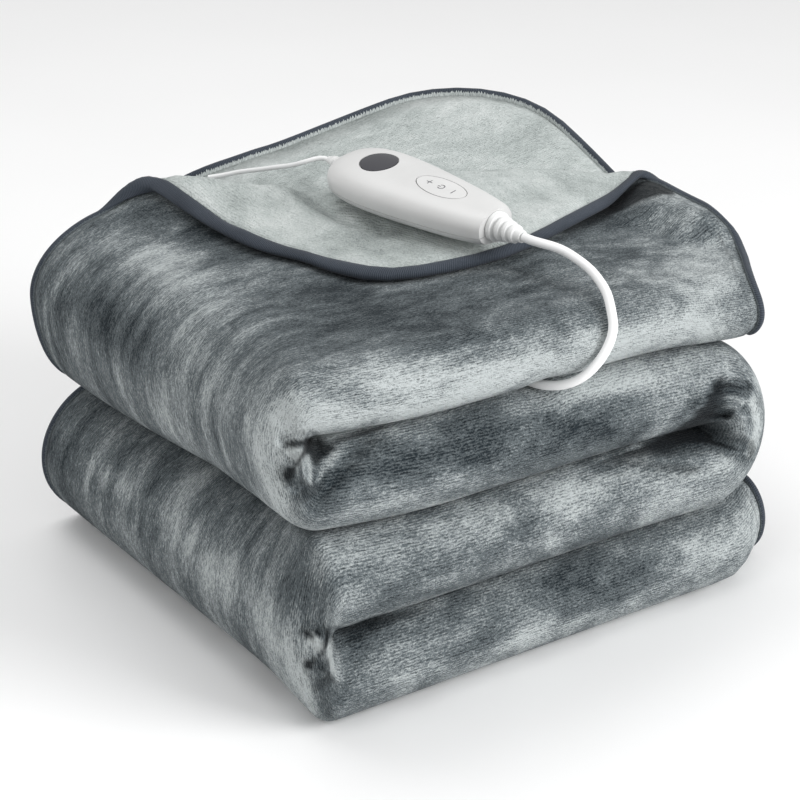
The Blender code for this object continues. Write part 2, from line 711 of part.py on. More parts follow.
def add_inset(name, at, halves, shares, material):
    """A piece that fills a seat, its top following the shell's: rings of an oval round a middle point."""
    floor = seat_floor(at, halves) + CLEAR
    points = [(at + along, across, floor) for along, across in oval(*halves, INSET_STEPS)]
    for share in shares:
        for along, across in oval(halves[0] * share, halves[1] * share, INSET_STEPS):
            points.append((at + along, across, shell_top(at + along, across)))
    points.append((at, 0.0, shell_top(at, 0.0)))
    faces = ring_faces(len(shares) + 1, INSET_STEPS) + [tuple(range(INSET_STEPS))[::-1]]
    middle, last = len(points) - 1, len(shares) * INSET_STEPS
    faces += [(last + step, last + (step + 1) % INSET_STEPS, middle) for step in range(INSET_STEPS)]
    piece = add_mesh(name, points, faces, material)
    piece.matrix_world = controller_frame()
    piece.data.set_sharp_from_angle(angle=math.radians(40))
    return piece


def add_turned(name, outline, frame, material):
    """A solid turned round the frame's +X, from an outline of places and radii."""
    points = []
    for along, radius in outline:
        for step in range(BOOT_SIDES):
            turn = 2 * math.pi * step / BOOT_SIDES
            points.append((along, radius * math.cos(turn), radius * math.sin(turn)))
    faces = ring_faces(len(outline), BOOT_SIDES) + end_faces(len(outline), BOOT_SIDES)
    piece = add_mesh(name, points, faces, material)
    piece.matrix_world = frame
    piece.data.set_sharp_from_angle(angle=math.radians(35))
    return piece


def add_controller():
    """The hand controller: two shells, the window, the button pad and a strain relief at each end."""
    upper = add_shell("controller_top", 1)
    add_shell("controller_base", -1)
    window = (WINDOW_RADIUS, WINDOW_RADIUS)
    cut_seat(upper, "window_seat", WINDOW_AT, window)
    cut_seat(upper, "pad_seat", PAD_AT, PAD_HALF)
    add_inset("controller_window", WINDOW_AT, window, (1.0, 0.55), "dark_window")
    add_inset("controller_buttons", PAD_AT, PAD_HALF, (1.0, 0.92, 0.5), "white_pad")
    frame = controller_frame()
    mains_end = Matrix.Translation((SHELL_OUTLINE[-1][0] + CLEAR, 0.0, 0.0))
    lead_end = Matrix.Translation((-CLEAR, 0.0, 0.0)) @ Matrix.Rotation(math.pi, 4, "Z")
    add_turned("mains_boot", MAINS_BOOT, frame @ mains_end, "boot_rubber")
    add_turned("lead_boot", LEAD_BOOT, frame @ lead_end, "boot_rubber")


def smooth_route(route, step):
    """Evenly spaced points of a smooth curve through a route's own points."""
    route = np.array(route)
    chord = np.concatenate([[0.0], np.cumsum(np.linalg.norm(np.diff(route, axis=0), axis=1))])
    system, bends = np.eye(len(route)), np.zeros_like(route)
    for row in range(1, len(route) - 1):
        before, after = chord[row] - chord[row - 1], chord[row + 1] - chord[row]
        system[row, row - 1:row + 2] = (before, 2 * (before + after), after)
        bends[row] = 6 * ((route[row + 1] - route[row]) / after - (route[row] - route[row - 1]) / before)
    bends = np.linalg.solve(system, bends)
    fine = []
    for row in range(len(route) - 1):
        span = chord[row + 1] - chord[row]
        for share in np.linspace(0.0, 1.0, 20, endpoint=row == len(route) - 2):
            rest = 1.0 - share
            bent = (rest ** 3 - rest) * bends[row] + (share ** 3 - share) * bends[row + 1]
            fine.append(rest * route[row] + share * route[row + 1] + bent * span ** 2 / 6)
    fine = np.array(fine)
    walked = np.concatenate([[0.0], np.cumsum(np.linalg.norm(np.diff(fine, axis=0), axis=1))])
    count = max(2, round(walked[-1] / step) + 1)
    places = np.linspace(0.0, walked[-1], count)
    return np.stack([np.interp(places, walked, fine[:, axis]) for axis in range(3)], axis=1)


def add_cord(name, route, diameter):
    """A cord as a round tube along its route."""
    curve = bpy.data.curves.new(name, "CURVE")
    curve.dimensions = "3D"
    curve.bevel_depth = diameter / 2
    curve.bevel_resolution = 2
    curve.use_fill_caps = True
    points = smooth_route(route, CORD_STEP * diameter)
    spline = curve.splines.new("POLY")
    spline.points.add(len(points) - 1)
    for place, point in zip(spline.points, points):
        place.co = (*map(float, point), 1.0)
        place.radius = 1.0
    spline.use_smooth = True
    curve.materials.append(make_material("cord_jacket"))
    cord = bpy.data.objects.new(name, curve)
    bpy.context.scene.collection.objects.link(cord)
    return cord


def add_coil():
    """The coiled length as one turned ring, and the tie round its bundle."""
    turns, sides = COIL_STEPS
    points = []
    for turn in range(turns):
        heading = 2 * math.pi * turn / turns
        for side in range(sides):
            angle = 2 * math.pi * side / sides
            reach = COIL_RADIUS + COIL_THICK * math.cos(angle)
            level = -COIL_THICK * math.sin(angle)
            points.append((reach * math.cos(heading), reach * math.sin(heading), level))
    coil = add_mesh("cord_coil", points, ring_faces(turns, sides, closed=True), "cord_jacket")
    coil.location = COIL_CENTRE
    points = []
    for along, radius in ((0.5, TIE_INNER), (0.5, TIE_OUTER), (-0.5, TIE_OUTER), (-0.5, TIE_INNER)):
        for side in range(BOOT_SIDES):
            angle = 2 * math.pi * (side + 0.5) / BOOT_SIDES
            points.append((radius * math.cos(angle), along * TIE_WIDTH, radius * math.sin(angle)))
    tie = add_mesh("cord_tie", points, ring_faces(4, BOOT_SIDES, closed=True), "binding_tape")
    tie.data.set_sharp_from_angle(angle=math.radians(35))
    tie.matrix_world = (Matrix.Translation(COIL_CENTRE) @ Matrix.Rotation(math.radians(90), 4, "Z")
                        @ Matrix.Translation((COIL_RADIUS, 0.0, 0.0)))


def add_plug():
    """The mains plug: one moulded body and two flat blades."""
    frame = Matrix.Translation(PLUG_PLACE) @ Matrix.Rotation(math.radians(PLUG_HEADING), 4, "Z")
    points = []
    for along, width, height in PLUG_OUTLINE:
        for side in range(PLUG_SIDES):
            angle = 2 * math.pi * (side + 0.5) / PLUG_SIDES
            c, sine = math.cos(angle), math.sin(angle)
            across = width * math.copysign(abs(c) ** PLUG_POWER, c)
            points.append((along, across, height * math.copysign(abs(sine) ** PLUG_POWER, sine)))
    faces = ring_faces(len(PLUG_OUTLINE), PLUG_SIDES) + end_faces(len(PLUG_OUTLINE), PLUG_SIDES)
    body = add_mesh("plug_body", points, faces, "plug_shell")
    body.data.set_sharp_from_angle(angle=math.radians(35))
    body.matrix_world = frame
    length, thick, tall = BLADE_SIZE
    root = PLUG_OUTLINE[-1][0] + CLEAR
    for name, middle in (("plug_blade_left", BLADE_SPREAD / 2), ("plug_blade_right", -BLADE_SPREAD / 2)):
        points = [(root + length * along, middle + thick * across, tall * up)
                  for along in (0.0, 1.0) for across in (-0.5, 0.5) for up in (-0.5, 0.5)]
        faces = [(0, 1, 3, 2), (4, 6, 7, 5), (0, 4, 5, 1), (2, 3, 7, 6), (0, 2, 6, 4), (1, 5, 7, 3)]
        blade = add_mesh(name, points, faces, "blade_brass")
        blade.data.shade_flat()
        blade.matrix_world = frame


def centre_stack():
    """Hang every piece on one empty that brings the stack's footprint over the origin."""
    stack = [bpy.data.objects[name] for name in ("blanket_cloth", "blanket_binding")]
    points = np.array([vertex.co for piece in stack for vertex in piece.data.vertices])
    low, high = points.min(axis=0), points.max(axis=0)
    middle = bpy.data.objects.new("stack_middle", None)
    bpy.context.scene.collection.objects.link(middle)
    middle.location = (-(low[0] + high[0]) / 2, -(low[1] + high[1]) / 2, -low[2])
    for piece in bpy.data.objects:
        if piece is not middle:
            piece.parent = middle


def main():
    for old in list(bpy.data.objects):
        bpy.data.objects.remove(old, do_unlink=True)
    add_cloth()
    add_binding()
    add_controller()
    add_cord("heater_lead", HEATER_ROUTE, HEATER_LEAD)
    add_cord("mains_cord", MAINS_ROUTE, MAINS_CORD)
    add_cord("mains_cord_tail", TAIL_ROUTE, MAINS_CORD)
    add_coil()
    add_plug()
    centre_stack()


main()
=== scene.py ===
"""The looks of an electric throw blanket, folded into a stack with its hand controller on top.

Lengths are metres, but for creases, strokes and shades, which are laid out in millimetres. A maker's own
frame is used for the pieces: its origin is the stack's near corner on the floor, +X runs along the right
face, +Y along the left face and +Z up. `STACK` is that frame's place in the model.

The blanket is one sheet, folded in four across its width, and the strip of four layers goes back and forth
in four bands. Every piece of the sheet is laid out flat first and then carried round the folds.
"""
import logging
import math
from dataclasses import dataclass, field
from enum import Enum

import bpy
import numpy as np
from mathutils import Euler, Matrix, Vector
from numpy.typing import NDArray


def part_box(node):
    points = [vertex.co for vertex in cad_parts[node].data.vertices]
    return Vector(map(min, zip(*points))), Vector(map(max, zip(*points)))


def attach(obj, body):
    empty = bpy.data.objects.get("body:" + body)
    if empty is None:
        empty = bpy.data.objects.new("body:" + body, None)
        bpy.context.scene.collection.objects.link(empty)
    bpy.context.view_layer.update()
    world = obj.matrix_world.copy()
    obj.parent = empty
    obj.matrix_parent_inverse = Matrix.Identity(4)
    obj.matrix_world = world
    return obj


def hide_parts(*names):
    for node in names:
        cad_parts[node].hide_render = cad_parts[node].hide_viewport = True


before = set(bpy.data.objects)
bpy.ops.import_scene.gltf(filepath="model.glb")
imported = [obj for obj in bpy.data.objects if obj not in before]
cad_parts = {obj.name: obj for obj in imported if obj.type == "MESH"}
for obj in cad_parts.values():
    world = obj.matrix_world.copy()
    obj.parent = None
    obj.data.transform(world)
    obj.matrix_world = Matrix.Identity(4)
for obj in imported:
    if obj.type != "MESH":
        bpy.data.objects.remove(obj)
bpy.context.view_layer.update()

LOG = logging.getLogger("throw")

Socket = bpy.types.NodeSocket
Piece = bpy.types.Object
Points = NDArray[np.float64]
Face = tuple[int, ...]
Pair = tuple[float, float]
Triple = tuple[float, float, float]
Place = Triple
Colour = Triple
Scale = Triple
Row = tuple[float, float, float, float]
EdgeFrame = tuple[float, Points, bool, float, float]

# What the cloth's meshes hold for their finishes: flat places, the nap's tone with painted sheen and shade,
# painted shade in the hollows, and the distance from the hem.
FLAT = "flat"
NAP_SHEEN_AND_SHADE = "nap_sheen_and_shade"
PAINTED_SHADE = "painted_shade"
HEM = "hem"

# The coil's middle in the maker's frame.
COIL_CENTRE = (0.2168, 0.4100, 0.0108)

# Bends sharper than these stay crisp.
SHELL_SHARP = math.radians(40)
RELIEF_SHARP = math.radians(50)


def stack_place() -> Points:
    """Where the maker's frame lies in the model, from the coil that both frames hold.

    Returns:
        The shift from the maker's frame to the model's.
    """
    low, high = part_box("cord_coil")
    middle = (np.array(low) + np.array(high)) / 2
    return np.array([middle[0] - COIL_CENTRE[0], middle[1] - COIL_CENTRE[1], 0.0])


STACK = stack_place()


def smooth(value: Points | float, start: float, end: float) -> Points:
    """A soft step: 0 at and before start, 1 at and past end.

    Args:
        value: The numbers to step.
        start: Where the step begins.
        end: Where it ends; it may lie below start.

    Returns:
        The step's height at each number.
    """
    share = np.clip((np.asarray(value, dtype=float) - start) / (end - start), 0.0, 1.0)
    return share * share * (3.0 - 2.0 * share)


# ---- Finishes ----


# A wave texture of scale 1 repeats after this length; its rows are broken up a little.
WAVE_LENGTH = math.pi / 10
ROW_DETAIL = 2.0
ROW_DETAIL_SCALE = 3.0
# The colour sockets of a mixing node.
MIX_FIRST = 6
MIX_SECOND = 7
MIX_RESULT = 2
# Most of a noise's values lie between these.
NOISE_SPAN = (0.3, 0.7)


class Graph:
    """One material's nodes, added a few at a time."""

    def __init__(self, name: str) -> None:
        """Start a material with a plain Principled shader.

        Args:
            name: The material's name.
        """
        self.material = bpy.data.materials.new(name)
        self.material.use_nodes = True
        self.tree = self.material.node_tree
        self.shader = self.tree.nodes["Principled BSDF"]

    def put(self, socket: Socket, value: object) -> None:
        """Link a socket to another node's output, or set its constant.

        Args:
            socket: The input to fill.
            value: An output socket, a number or a tuple.
        """
        if isinstance(value, Socket):
            self.tree.links.new(value, socket)
        elif value is not None:
            socket.default_value = value

    def shade(self, **inputs: object) -> None:
        """Fill the shader's inputs, named with underscores for spaces."""
        for key, value in inputs.items():
            self.put(self.shader.inputs[key.replace("_", " ")], value)

    def flat(self, scale: Scale = (1.0, 1.0, 1.0), turn: float = 0.0) -> Socket:
        """The place on the flat cloth, in metres times a scale.

        Args:
            scale: How much each direction is multiplied.
            turn: Degrees that the pattern is turned by.

        Returns:
            The scaled place.
        """
        uv = self.tree.nodes.new("ShaderNodeUVMap")
        uv.uv_map = FLAT
        mapping = self.tree.nodes.new("ShaderNodeMapping")
        mapping.inputs["Scale"].default_value = scale
        mapping.inputs["Rotation"].default_value = (0.0, 0.0, math.radians(turn))
        self.tree.links.new(uv.outputs["UV"], mapping.inputs["Vector"])
        return mapping.outputs["Vector"]

    def place(self, scale: Scale = (1.0, 1.0, 1.0)) -> Socket:
        """The place in the model, in metres times a scale.

        Args:
            scale: How much each direction is multiplied.

        Returns:
            The scaled place.
        """
        coordinates = self.tree.nodes.new("ShaderNodeTexCoord")
        mapping = self.tree.nodes.new("ShaderNodeMapping")
        mapping.inputs["Scale"].default_value = scale
        self.tree.links.new(coordinates.outputs["Object"], mapping.inputs["Vector"])
        return mapping.outputs["Vector"]

    def noise(self, where: Socket, scale: float, detail: float = 2.0,
              rough: float = 0.5, warp: float = 0.0) -> Socket:
        """Soft random patches.

        Args:
            where: The place that the patches follow.
            scale: Patches in a metre, about.
            detail: Finer patches within each.
            rough: How strong the finer ones are.
            warp: How far they are twisted.

        Returns:
            The patches' value, from 0 to 1.
        """
        node = self.tree.nodes.new("ShaderNodeTexNoise")
        self.put(node.inputs["Vector"], where)
        for key, value in (("Scale", scale), ("Detail", detail), ("Roughness", rough), ("Distortion", warp)):
            self.put(node.inputs[key], value)
        return node.outputs["Fac"]

    def rows(self, where: Socket, pitch: float, warp: float,
             axis: str = "X") -> Socket:
        """Even rows across one direction, a little crooked.

        Args:
            where: The place that the rows follow.
            pitch: From one row to the next.
            warp: How crooked they are.
            axis: The direction across the rows.

        Returns:
            The rows' value, from 0 to 1.
        """
        node = self.tree.nodes.new("ShaderNodeTexWave")
        node.bands_direction = axis
        self.put(node.inputs["Vector"], where)
        for key, value in (("Scale", WAVE_LENGTH / pitch), ("Distortion", warp), ("Detail", ROW_DETAIL),
                           ("Detail Scale", ROW_DETAIL_SCALE)):
            self.put(node.inputs[key], value)
        return node.outputs["Fac"]

    def sum(self, kind: str, first: object, second: object) -> Socket:
        """Two numbers put together.

        Args:
            kind: The sum, such as ADD or MULTIPLY.
            first: A socket or number.
            second: A socket or number.

        Returns:
            The result.
        """
        node = self.tree.nodes.new("ShaderNodeMath")
        node.operation = kind
        self.put(node.inputs[0], first)
        self.put(node.inputs[1], second)
        return node.outputs[0]

    def range(self, value: Socket, low: float, high: float, to_low: float = 0.0,
              to_high: float = 1.0) -> Socket:
        """A number carried from one range to another, held at its ends.

        Args:
            value: The number.
            low: The start of its range.
            high: The end of its range.
            to_low: What low becomes.
            to_high: What high becomes.

        Returns:
            The carried number.
        """
        node = self.tree.nodes.new("ShaderNodeMapRange")
        self.put(node.inputs["Value"], value)
        for key, number in (("From Min", low), ("From Max", high), ("To Min", to_low), ("To Max", to_high)):
            self.put(node.inputs[key], number)
        return node.outputs["Result"]

    def steps(self, value: Socket, *stops: tuple[float, Colour]) -> Socket:
        """A colour for each value.

        Args:
            value: From 0 to 1.
            stops: Places and their colours, in order.

        Returns:
            The colour.
        """
        node = self.tree.nodes.new("ShaderNodeValToRGB")
        ramp = node.color_ramp
        while len(ramp.elements) < len(stops):
            ramp.elements.new(0.5)
        for element, (place, colour) in zip(ramp.elements, stops):
            element.position = place
            element.color = (*colour, 1.0)
        self.put(node.inputs["Fac"], value)
        return node.outputs["Color"]

    def mix(self, share: object, first: object, second: object, kind: str = "MIX") -> Socket:
        """Two colours mixed.

        Args:
            share: How much of the second.
            first: A colour or socket.
            second: A colour or socket.
            kind: The way they mix.

        Returns:
            The colour.
        """
        node = self.tree.nodes.new("ShaderNodeMix")
        node.data_type = "RGBA"
        node.blend_type = kind
        self.put(node.inputs["Factor"], share)
        self.put(node.inputs[MIX_FIRST], (*first, 1.0) if isinstance(first, tuple) else first)
        self.put(node.inputs[MIX_SECOND], (*second, 1.0) if isinstance(second, tuple) else second)
        return node.outputs[MIX_RESULT]

    def painted(self, name: str) -> Socket:
        """A value that the mesh holds at each of its points.

        Args:
            name: The value's name.

        Returns:
            The value.
        """
        node = self.tree.nodes.new("ShaderNodeAttribute")
        node.attribute_name = name
        return node.outputs["Fac"]

    def bumps(self, *layers: tuple[Socket, float, float]) -> None:
        """Small relief on the shader's normal, from one or more heights.

        Args:
            layers: Each a height, its strength, and its depth in metres.
        """
        normal = None
        for height, strength, depth in layers:
            node = self.tree.nodes.new("ShaderNodeBump")
            self.put(node.inputs["Height"], height)
            self.put(node.inputs["Strength"], strength)
            self.put(node.inputs["Distance"], depth)
            self.put(node.inputs["Normal"], normal)
            normal = node.outputs["Normal"]
        self.shade(Normal=normal)


@dataclass(frozen=True)
class Grain:
    """Soft random patches on the flat cloth: how many in a metre each way, their turn and their detail."""

    scale: Scale
    turn: float = 0.0
    detail: float = 2.0
    rough: float = 0.6
    warp: float = 0.0

    def on(self, graph: Graph) -> Socket:
        """The patches' value in a material, from 0 to 1."""
        return graph.noise(graph.flat(self.scale, self.turn), 1.0, self.detail, self.rough, self.warp)


@dataclass(frozen=True)
class PlushFinish:
    """Short plush pile. Its nap lies one way or the other in soft random patches, and the mesh adds painted
    sheen, painted highlights and painted shade.
    """

    name: str
    dark: Colour
    middle: Colour
    light: Colour
    # The colour of the seam line, and of the painted shade in the hollows.
    deep: Colour
    patch: float = 0.24
    fleck: float = 0.34
    rib: float = 0.17
    depth: float = 0.0008
    seam: float = 0.35
    rib_pitch: float = 0.0015
    rib_warp: float = 3.4
    rib_gaps: Pair = (0.36, 0.56)
    seam_inner: Pair = (0.0072, 0.0090)
    seam_outer: Pair = (0.0112, 0.0092)
    brushed: Grain = Grain((16.0, 34.0, 1.0), 18.0, 4.0, 0.62, 0.4)
    cloud: Grain = Grain((60.0, 110.0, 1.0), -12.0, 3.0)
    fibre: Grain = Grain((520.0, 900.0, 1.0), 25.0)
    tuft: Grain = Grain((1500.0, 1500.0, 1.0), 0.0, 1.0, 0.5)
    broken: Grain = Grain((210.0, 640.0, 1.0))

    def make(self) -> bpy.types.Material:
        """Build the material.

        Returns:
            The finished material.
        """
        graph = Graph(self.name)
        brushed, cloud = self.brushed.on(graph), self.cloud.on(graph)
        fibre, tuft = self.fibre.on(graph), self.tuft.on(graph)
        rows = graph.rows(graph.flat(), self.rib_pitch, self.rib_warp, "Y")
        ribs = graph.sum("MULTIPLY", rows, graph.range(self.broken.on(graph), *self.rib_gaps))
        # The nap's tone with its painted sheen, painted highlights and painted shade, held by the mesh.
        shade = graph.painted(NAP_SHEEN_AND_SHADE)
        for grain, half in ((brushed, self.patch), (cloud, self.patch * 0.5), (fibre, self.fleck * 0.5),
                            (tuft, self.fleck * 0.35)):
            shade = graph.sum("ADD", shade, graph.range(grain, *NOISE_SPAN, -half, half))
        shade = graph.sum("ADD", shade, graph.range(ribs, 0.0, 1.0, self.rib * 0.3, -self.rib))
        colour = graph.steps(shade, (0.08, self.dark), (0.5, self.middle), (0.95, self.light))
        hem = graph.painted(HEM)
        seam = graph.sum("MULTIPLY", graph.range(hem, *self.seam_inner), graph.range(hem, *self.seam_outer))
        seam = graph.sum("MULTIPLY", seam, graph.range(brushed, 0.35, 0.6))
        colour = graph.mix(graph.sum("MULTIPLY", seam, self.seam), colour, self.deep)
        # Painted shade in the hollows, held by the mesh.
        colour = graph.mix(graph.painted(PAINTED_SHADE), colour, self.deep)
        graph.shade(Base_Color=colour, Roughness=0.92, Sheen_Weight=0.05, Sheen_Roughness=0.45,
                    Specular_IOR_Level=0.10)
        pile = graph.sum("ADD", fibre, graph.sum("MULTIPLY", tuft, 0.8))
        graph.bumps((cloud, 0.25, 0.0020), (graph.range(seam, 0.0, 1.0, 1.0, 0.0), self.seam, 0.0012),
                    (graph.range(ribs, 0.0, 1.0, 1.0, 0.0), 0.70, 0.0006), (pile, 0.90, self.depth))
        return graph.material


@dataclass(frozen=True)
class KnitTapeFinish:
    """Ribbed knit tape: fine ribs across its length, and soft worn patches, lighter and darker, along it."""

    name: str = "binding_knit"
    dark: Colour = (0.018, 0.023, 0.031)
    light: Colour = (0.080, 0.095, 0.119)
    over: tuple[Colour, Colour] | None = None
    rib_pitch: float = 0.0012
    rib_warp: float = 1.2
    fringe_reach: Pair = (0.0088, 0.0102)
    fringe_soft: float = 0.0003
    weave: Grain = Grain((1400.0, 2600.0, 1.0), 0.0, 1.0, 0.5)
    wear: Grain = Grain((22.0, 60.0, 1.0), 0.0, 3.0)
    tufts: Grain = Grain((900.0, 90.0, 1.0), 0.0, 3.0)
    fibre: Grain = Grain((1500.0, 500.0, 1.0))

    def make(self) -> bpy.types.Material:
        """Build the material.

        Returns:
            The finished material.
        """
        graph = Graph(self.name)
        ribs = graph.rows(graph.flat(), self.rib_pitch, self.rib_warp)
        weave = self.weave.on(graph)
        wear = self.wear.on(graph)
        shade = graph.sum("ADD", graph.range(ribs, 0.0, 1.0, 0.10, 0.62),
                          graph.range(weave, *NOISE_SPAN, -0.16, 0.16))
        shade = graph.sum("ADD", shade, graph.range(wear, *NOISE_SPAN, -0.12, 0.18))
        colour = graph.steps(shade, (0.0, self.dark), (1.0, self.light))
        if self.over is not None:
            colour = self.fringe(graph, colour)
        graph.shade(Base_Color=colour, Roughness=0.85, Sheen_Weight=0.08, Sheen_Roughness=0.45,
                    Specular_IOR_Level=0.2)
        graph.bumps((ribs, 0.55, 0.0003), (weave, 0.5, 0.0002))
        return graph.material

    def fringe(self, graph: Graph, colour: Socket) -> Socket:
        """Ragged pile of the sheet's two sides over the tape's sewn edges.

        Args:
            graph: The material's nodes.
            colour: The tape's colour.

        Returns:
            The colour with the pile over it.
        """
        split = graph.tree.nodes.new("ShaderNodeSeparateXYZ")
        graph.put(split.inputs[0], graph.flat())
        round_way = split.outputs["Y"]
        reach = graph.sum("SUBTRACT", graph.sum("ABSOLUTE", round_way, 0.0),
                          graph.range(self.tufts.on(graph), 0.35, 0.65, *self.fringe_reach))
        share = graph.range(reach, 0.0, self.fringe_soft)
        side = graph.range(round_way, -0.0001, 0.0001)
        pile = graph.mix(side, self.over[1], self.over[0])
        pile = graph.mix(graph.range(self.fibre.on(graph), 0.35, 0.65, 0.0, 0.5), pile, self.dark)
        return graph.mix(share, colour, pile)


@dataclass(frozen=True)
class MouldedFinish:
    """Moulded plastic or rubber: an even colour, a faint grain and slightly uneven gloss."""

    name: str
    colour: Colour
    roughness: float
    grain: float = 0.00006
    grain_scale: float = 2600.0
    coat: float = 0.0
    cloud_scale: float = 45.0
    uneven: float = 0.04
    darker: float = 0.95

    def make(self) -> bpy.types.Material:
        """Build the material.

        Returns:
            The finished material.
        """
        graph = Graph(self.name)
        grain = graph.noise(graph.place(), self.grain_scale, 2.0, 0.5)
        cloud = graph.noise(graph.place(), self.cloud_scale, 2.0, 0.5)
        low, high = NOISE_SPAN
        darker = tuple(part * self.darker for part in self.colour)
        rough = graph.range(cloud, low, high, self.roughness - self.uneven, self.roughness + self.uneven)
        graph.shade(Base_Color=graph.steps(cloud, (low, darker), (high, self.colour)), Roughness=rough,
                    Coat_Weight=self.coat, Coat_Roughness=0.25)
        graph.bumps((grain, 0.35, self.grain))
        return graph.material


@dataclass(frozen=True)
class BrassFinish:
    """Plated brass of the plug's blades, with faint drawing lines along them."""

    name: str = "blade_plate"
    colour: Colour = (0.72, 0.56, 0.29)

    def make(self) -> bpy.types.Material:
        """Build the material.

        Returns:
            The finished material.
        """
        graph = Graph(self.name)
        lines = graph.noise(graph.place((120.0, 4000.0, 4000.0)), 1.0, 2.0, 0.6)
        graph.shade(Base_Color=self.colour + (1.0,), Metallic=1.0,
                    Roughness=graph.range(lines, *NOISE_SPAN, 0.20, 0.34))
        graph.bumps((lines, 0.2, 0.00004))
        return graph.material


class Finish(Enum):
    """Every finish on the blanket, with the record's slot that it stands for."""

    OUTSIDE = (PlushFinish("plush_outside", (0.016, 0.023, 0.028), (0.128, 0.148, 0.157),
                           (0.470, 0.505, 0.508), (0.005, 0.007, 0.009)), "plush")
    REVERSE = (PlushFinish("plush_reverse", (0.205, 0.230, 0.225), (0.430, 0.468, 0.458),
                           (0.640, 0.670, 0.660), (0.060, 0.070, 0.070), 0.20, 0.26, 0.04, 0.0006, 0.0),
               "plush")
    BINDING = (KnitTapeFinish(over=((0.140, 0.162, 0.172), (0.520, 0.560, 0.550))), "binding_tape")
    STRAP = (KnitTapeFinish("tie_strap", (0.030, 0.034, 0.040), (0.085, 0.095, 0.110)), "binding_tape")
    SHELL = (MouldedFinish("controller_shell", (0.64, 0.64, 0.635), 0.40), "white_shell")
    WINDOW = (MouldedFinish("display_window", (0.022, 0.022, 0.030), 0.16, 0.0, 2600.0, 0.4), "dark_window")
    PAD = (MouldedFinish("button_pad", (0.66, 0.66, 0.655), 0.48), "white_pad")
    PRINT = (MouldedFinish("pad_print", (0.16, 0.16, 0.17), 0.55), "white_pad")
    BOOT = (MouldedFinish("strain_relief", (0.78, 0.785, 0.78), 0.52), "boot_rubber")
    JACKET = (MouldedFinish("cord_jacket", (0.80, 0.805, 0.80), 0.42, 0.00004, 900.0), "cord_jacket")
    PLUG = (MouldedFinish("plug_moulding", (0.77, 0.77, 0.765), 0.46), "plug_shell")
    BLADE = (BrassFinish(), "blade_brass")

    @property
    def slot(self) -> str:
        """The record's material slot."""
        return self.value[1]

    def material(self) -> bpy.types.Material:
        """The material, made once and then shared."""
        name = self.value[0].name
        return bpy.data.materials.get(name) or self.value[0].make()


# ---- Meshes ----


def ring_faces(rings: int, sides: int, closed: bool = False) -> list[Face]:
    """Faces between rings of points, which turn left round the way they follow.

    Args:
        rings: How many rings there are.
        sides: Points in each.
        closed: Whether the last ring joins the first.

    Returns:
        The faces.
    """
    faces = []
    for ring in range(rings if closed else rings - 1):
        here, there = ring * sides, (ring + 1) % rings * sides
        for side in range(sides):
            beside = (side + 1) % sides
            faces.append((there + beside, there + side, here + side, here + beside))
    return faces


def end_faces(rings: int, sides: int) -> list[Face]:
    """The two faces that close a row of rings.

    Args:
        rings: How many rings there are.
        sides: Points in each.

    Returns:
        The two faces.
    """
    last = (rings - 1) * sides
    return [tuple(range(sides))[::-1], tuple(range(last, last + sides))]


def make_piece(name: str, points: Points, faces: list[Face], finish: Finish,
               turn: Matrix | None = None) -> Piece:
    """A new smooth mesh in the stack's frame.

    Args:
        name: The piece's name.
        points: Its points, in the maker's frame or in the frame that turn gives.
        faces: Its faces.
        finish: What it is made of.
        turn: A frame of its own on the stack.

    Returns:
        The new object.
    """
    places = np.asarray(points, dtype=float)
    if turn is not None:
        matrix = np.array(turn)
        places = places @ matrix[:3, :3].T + matrix[:3, 3]
    mesh = bpy.data.meshes.new(name)
    mesh.from_pydata((places + STACK).tolist(), [], faces)
    mesh.update()
    mesh.shade_smooth()
    piece = bpy.data.objects.new(name, mesh)
    bpy.context.scene.collection.objects.link(piece)
    dress(piece, finish)
    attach(piece, "root")
    return piece


def dress(piece: Piece, *finishes: Finish) -> None:
    """Give a piece its finishes, the first of them the one that names its slot in the record.

    Args:
        piece: The piece or CAD node.
        finishes: One for each of its material slots.
    """
    piece.data.materials.clear()
    for finish in finishes:
        piece.data.materials.append(finish.material())


def lay_flat(piece: Piece, places: Points) -> None:
    """Write every point's place on the flat cloth on a mesh, for its finish.

    Args:
        piece: The mesh.
        places: One place for each of its points.
    """
    layer = piece.data.uv_layers.new(name=FLAT)
    corners = np.empty(len(piece.data.loops), dtype=np.int32)
    piece.data.loops.foreach_get("vertex_index", corners)
    layer.data.foreach_set("uv", places[corners].ravel().astype(np.float32))


def settle_modifiers(piece: Piece) -> None:
    """Make a piece's modifiers part of its mesh.

    Args:
        piece: The piece.
    """
    graph = bpy.context.evaluated_depsgraph_get()
    mesh = bpy.data.meshes.new_from_object(piece.evaluated_get(graph))
    piece.modifiers.clear()
    piece.data = mesh


# ---- The folded sheet ----


# The strip of four layers goes back and forth in this many bands.
BANDS = 4


@dataclass(frozen=True)
class Give:
    """How the stack gives over one side or corner: an amount, and where it fades in along X and Y."""

    amount: float
    over_x: Pair
    over_y: Pair

    def at(self, x: Points, y: Points) -> Points:
        """The amount at each place."""
        return self.amount * smooth(x, *self.over_x) * smooth(y, *self.over_y)


@dataclass(frozen=True)
class Mound:
    """A round rise, or a dent, in the stack's top: its middle, its spread along X and Y, its height."""

    middle: Pair
    spread: Pair
    height: float

    def at(self, x: Points, y: Points) -> Points:
        """The height at each place."""
        away = ((x - self.middle[0]) / self.spread[0]) ** 2 + ((y - self.middle[1]) / self.spread[1]) ** 2
        return self.height * np.exp(-away)


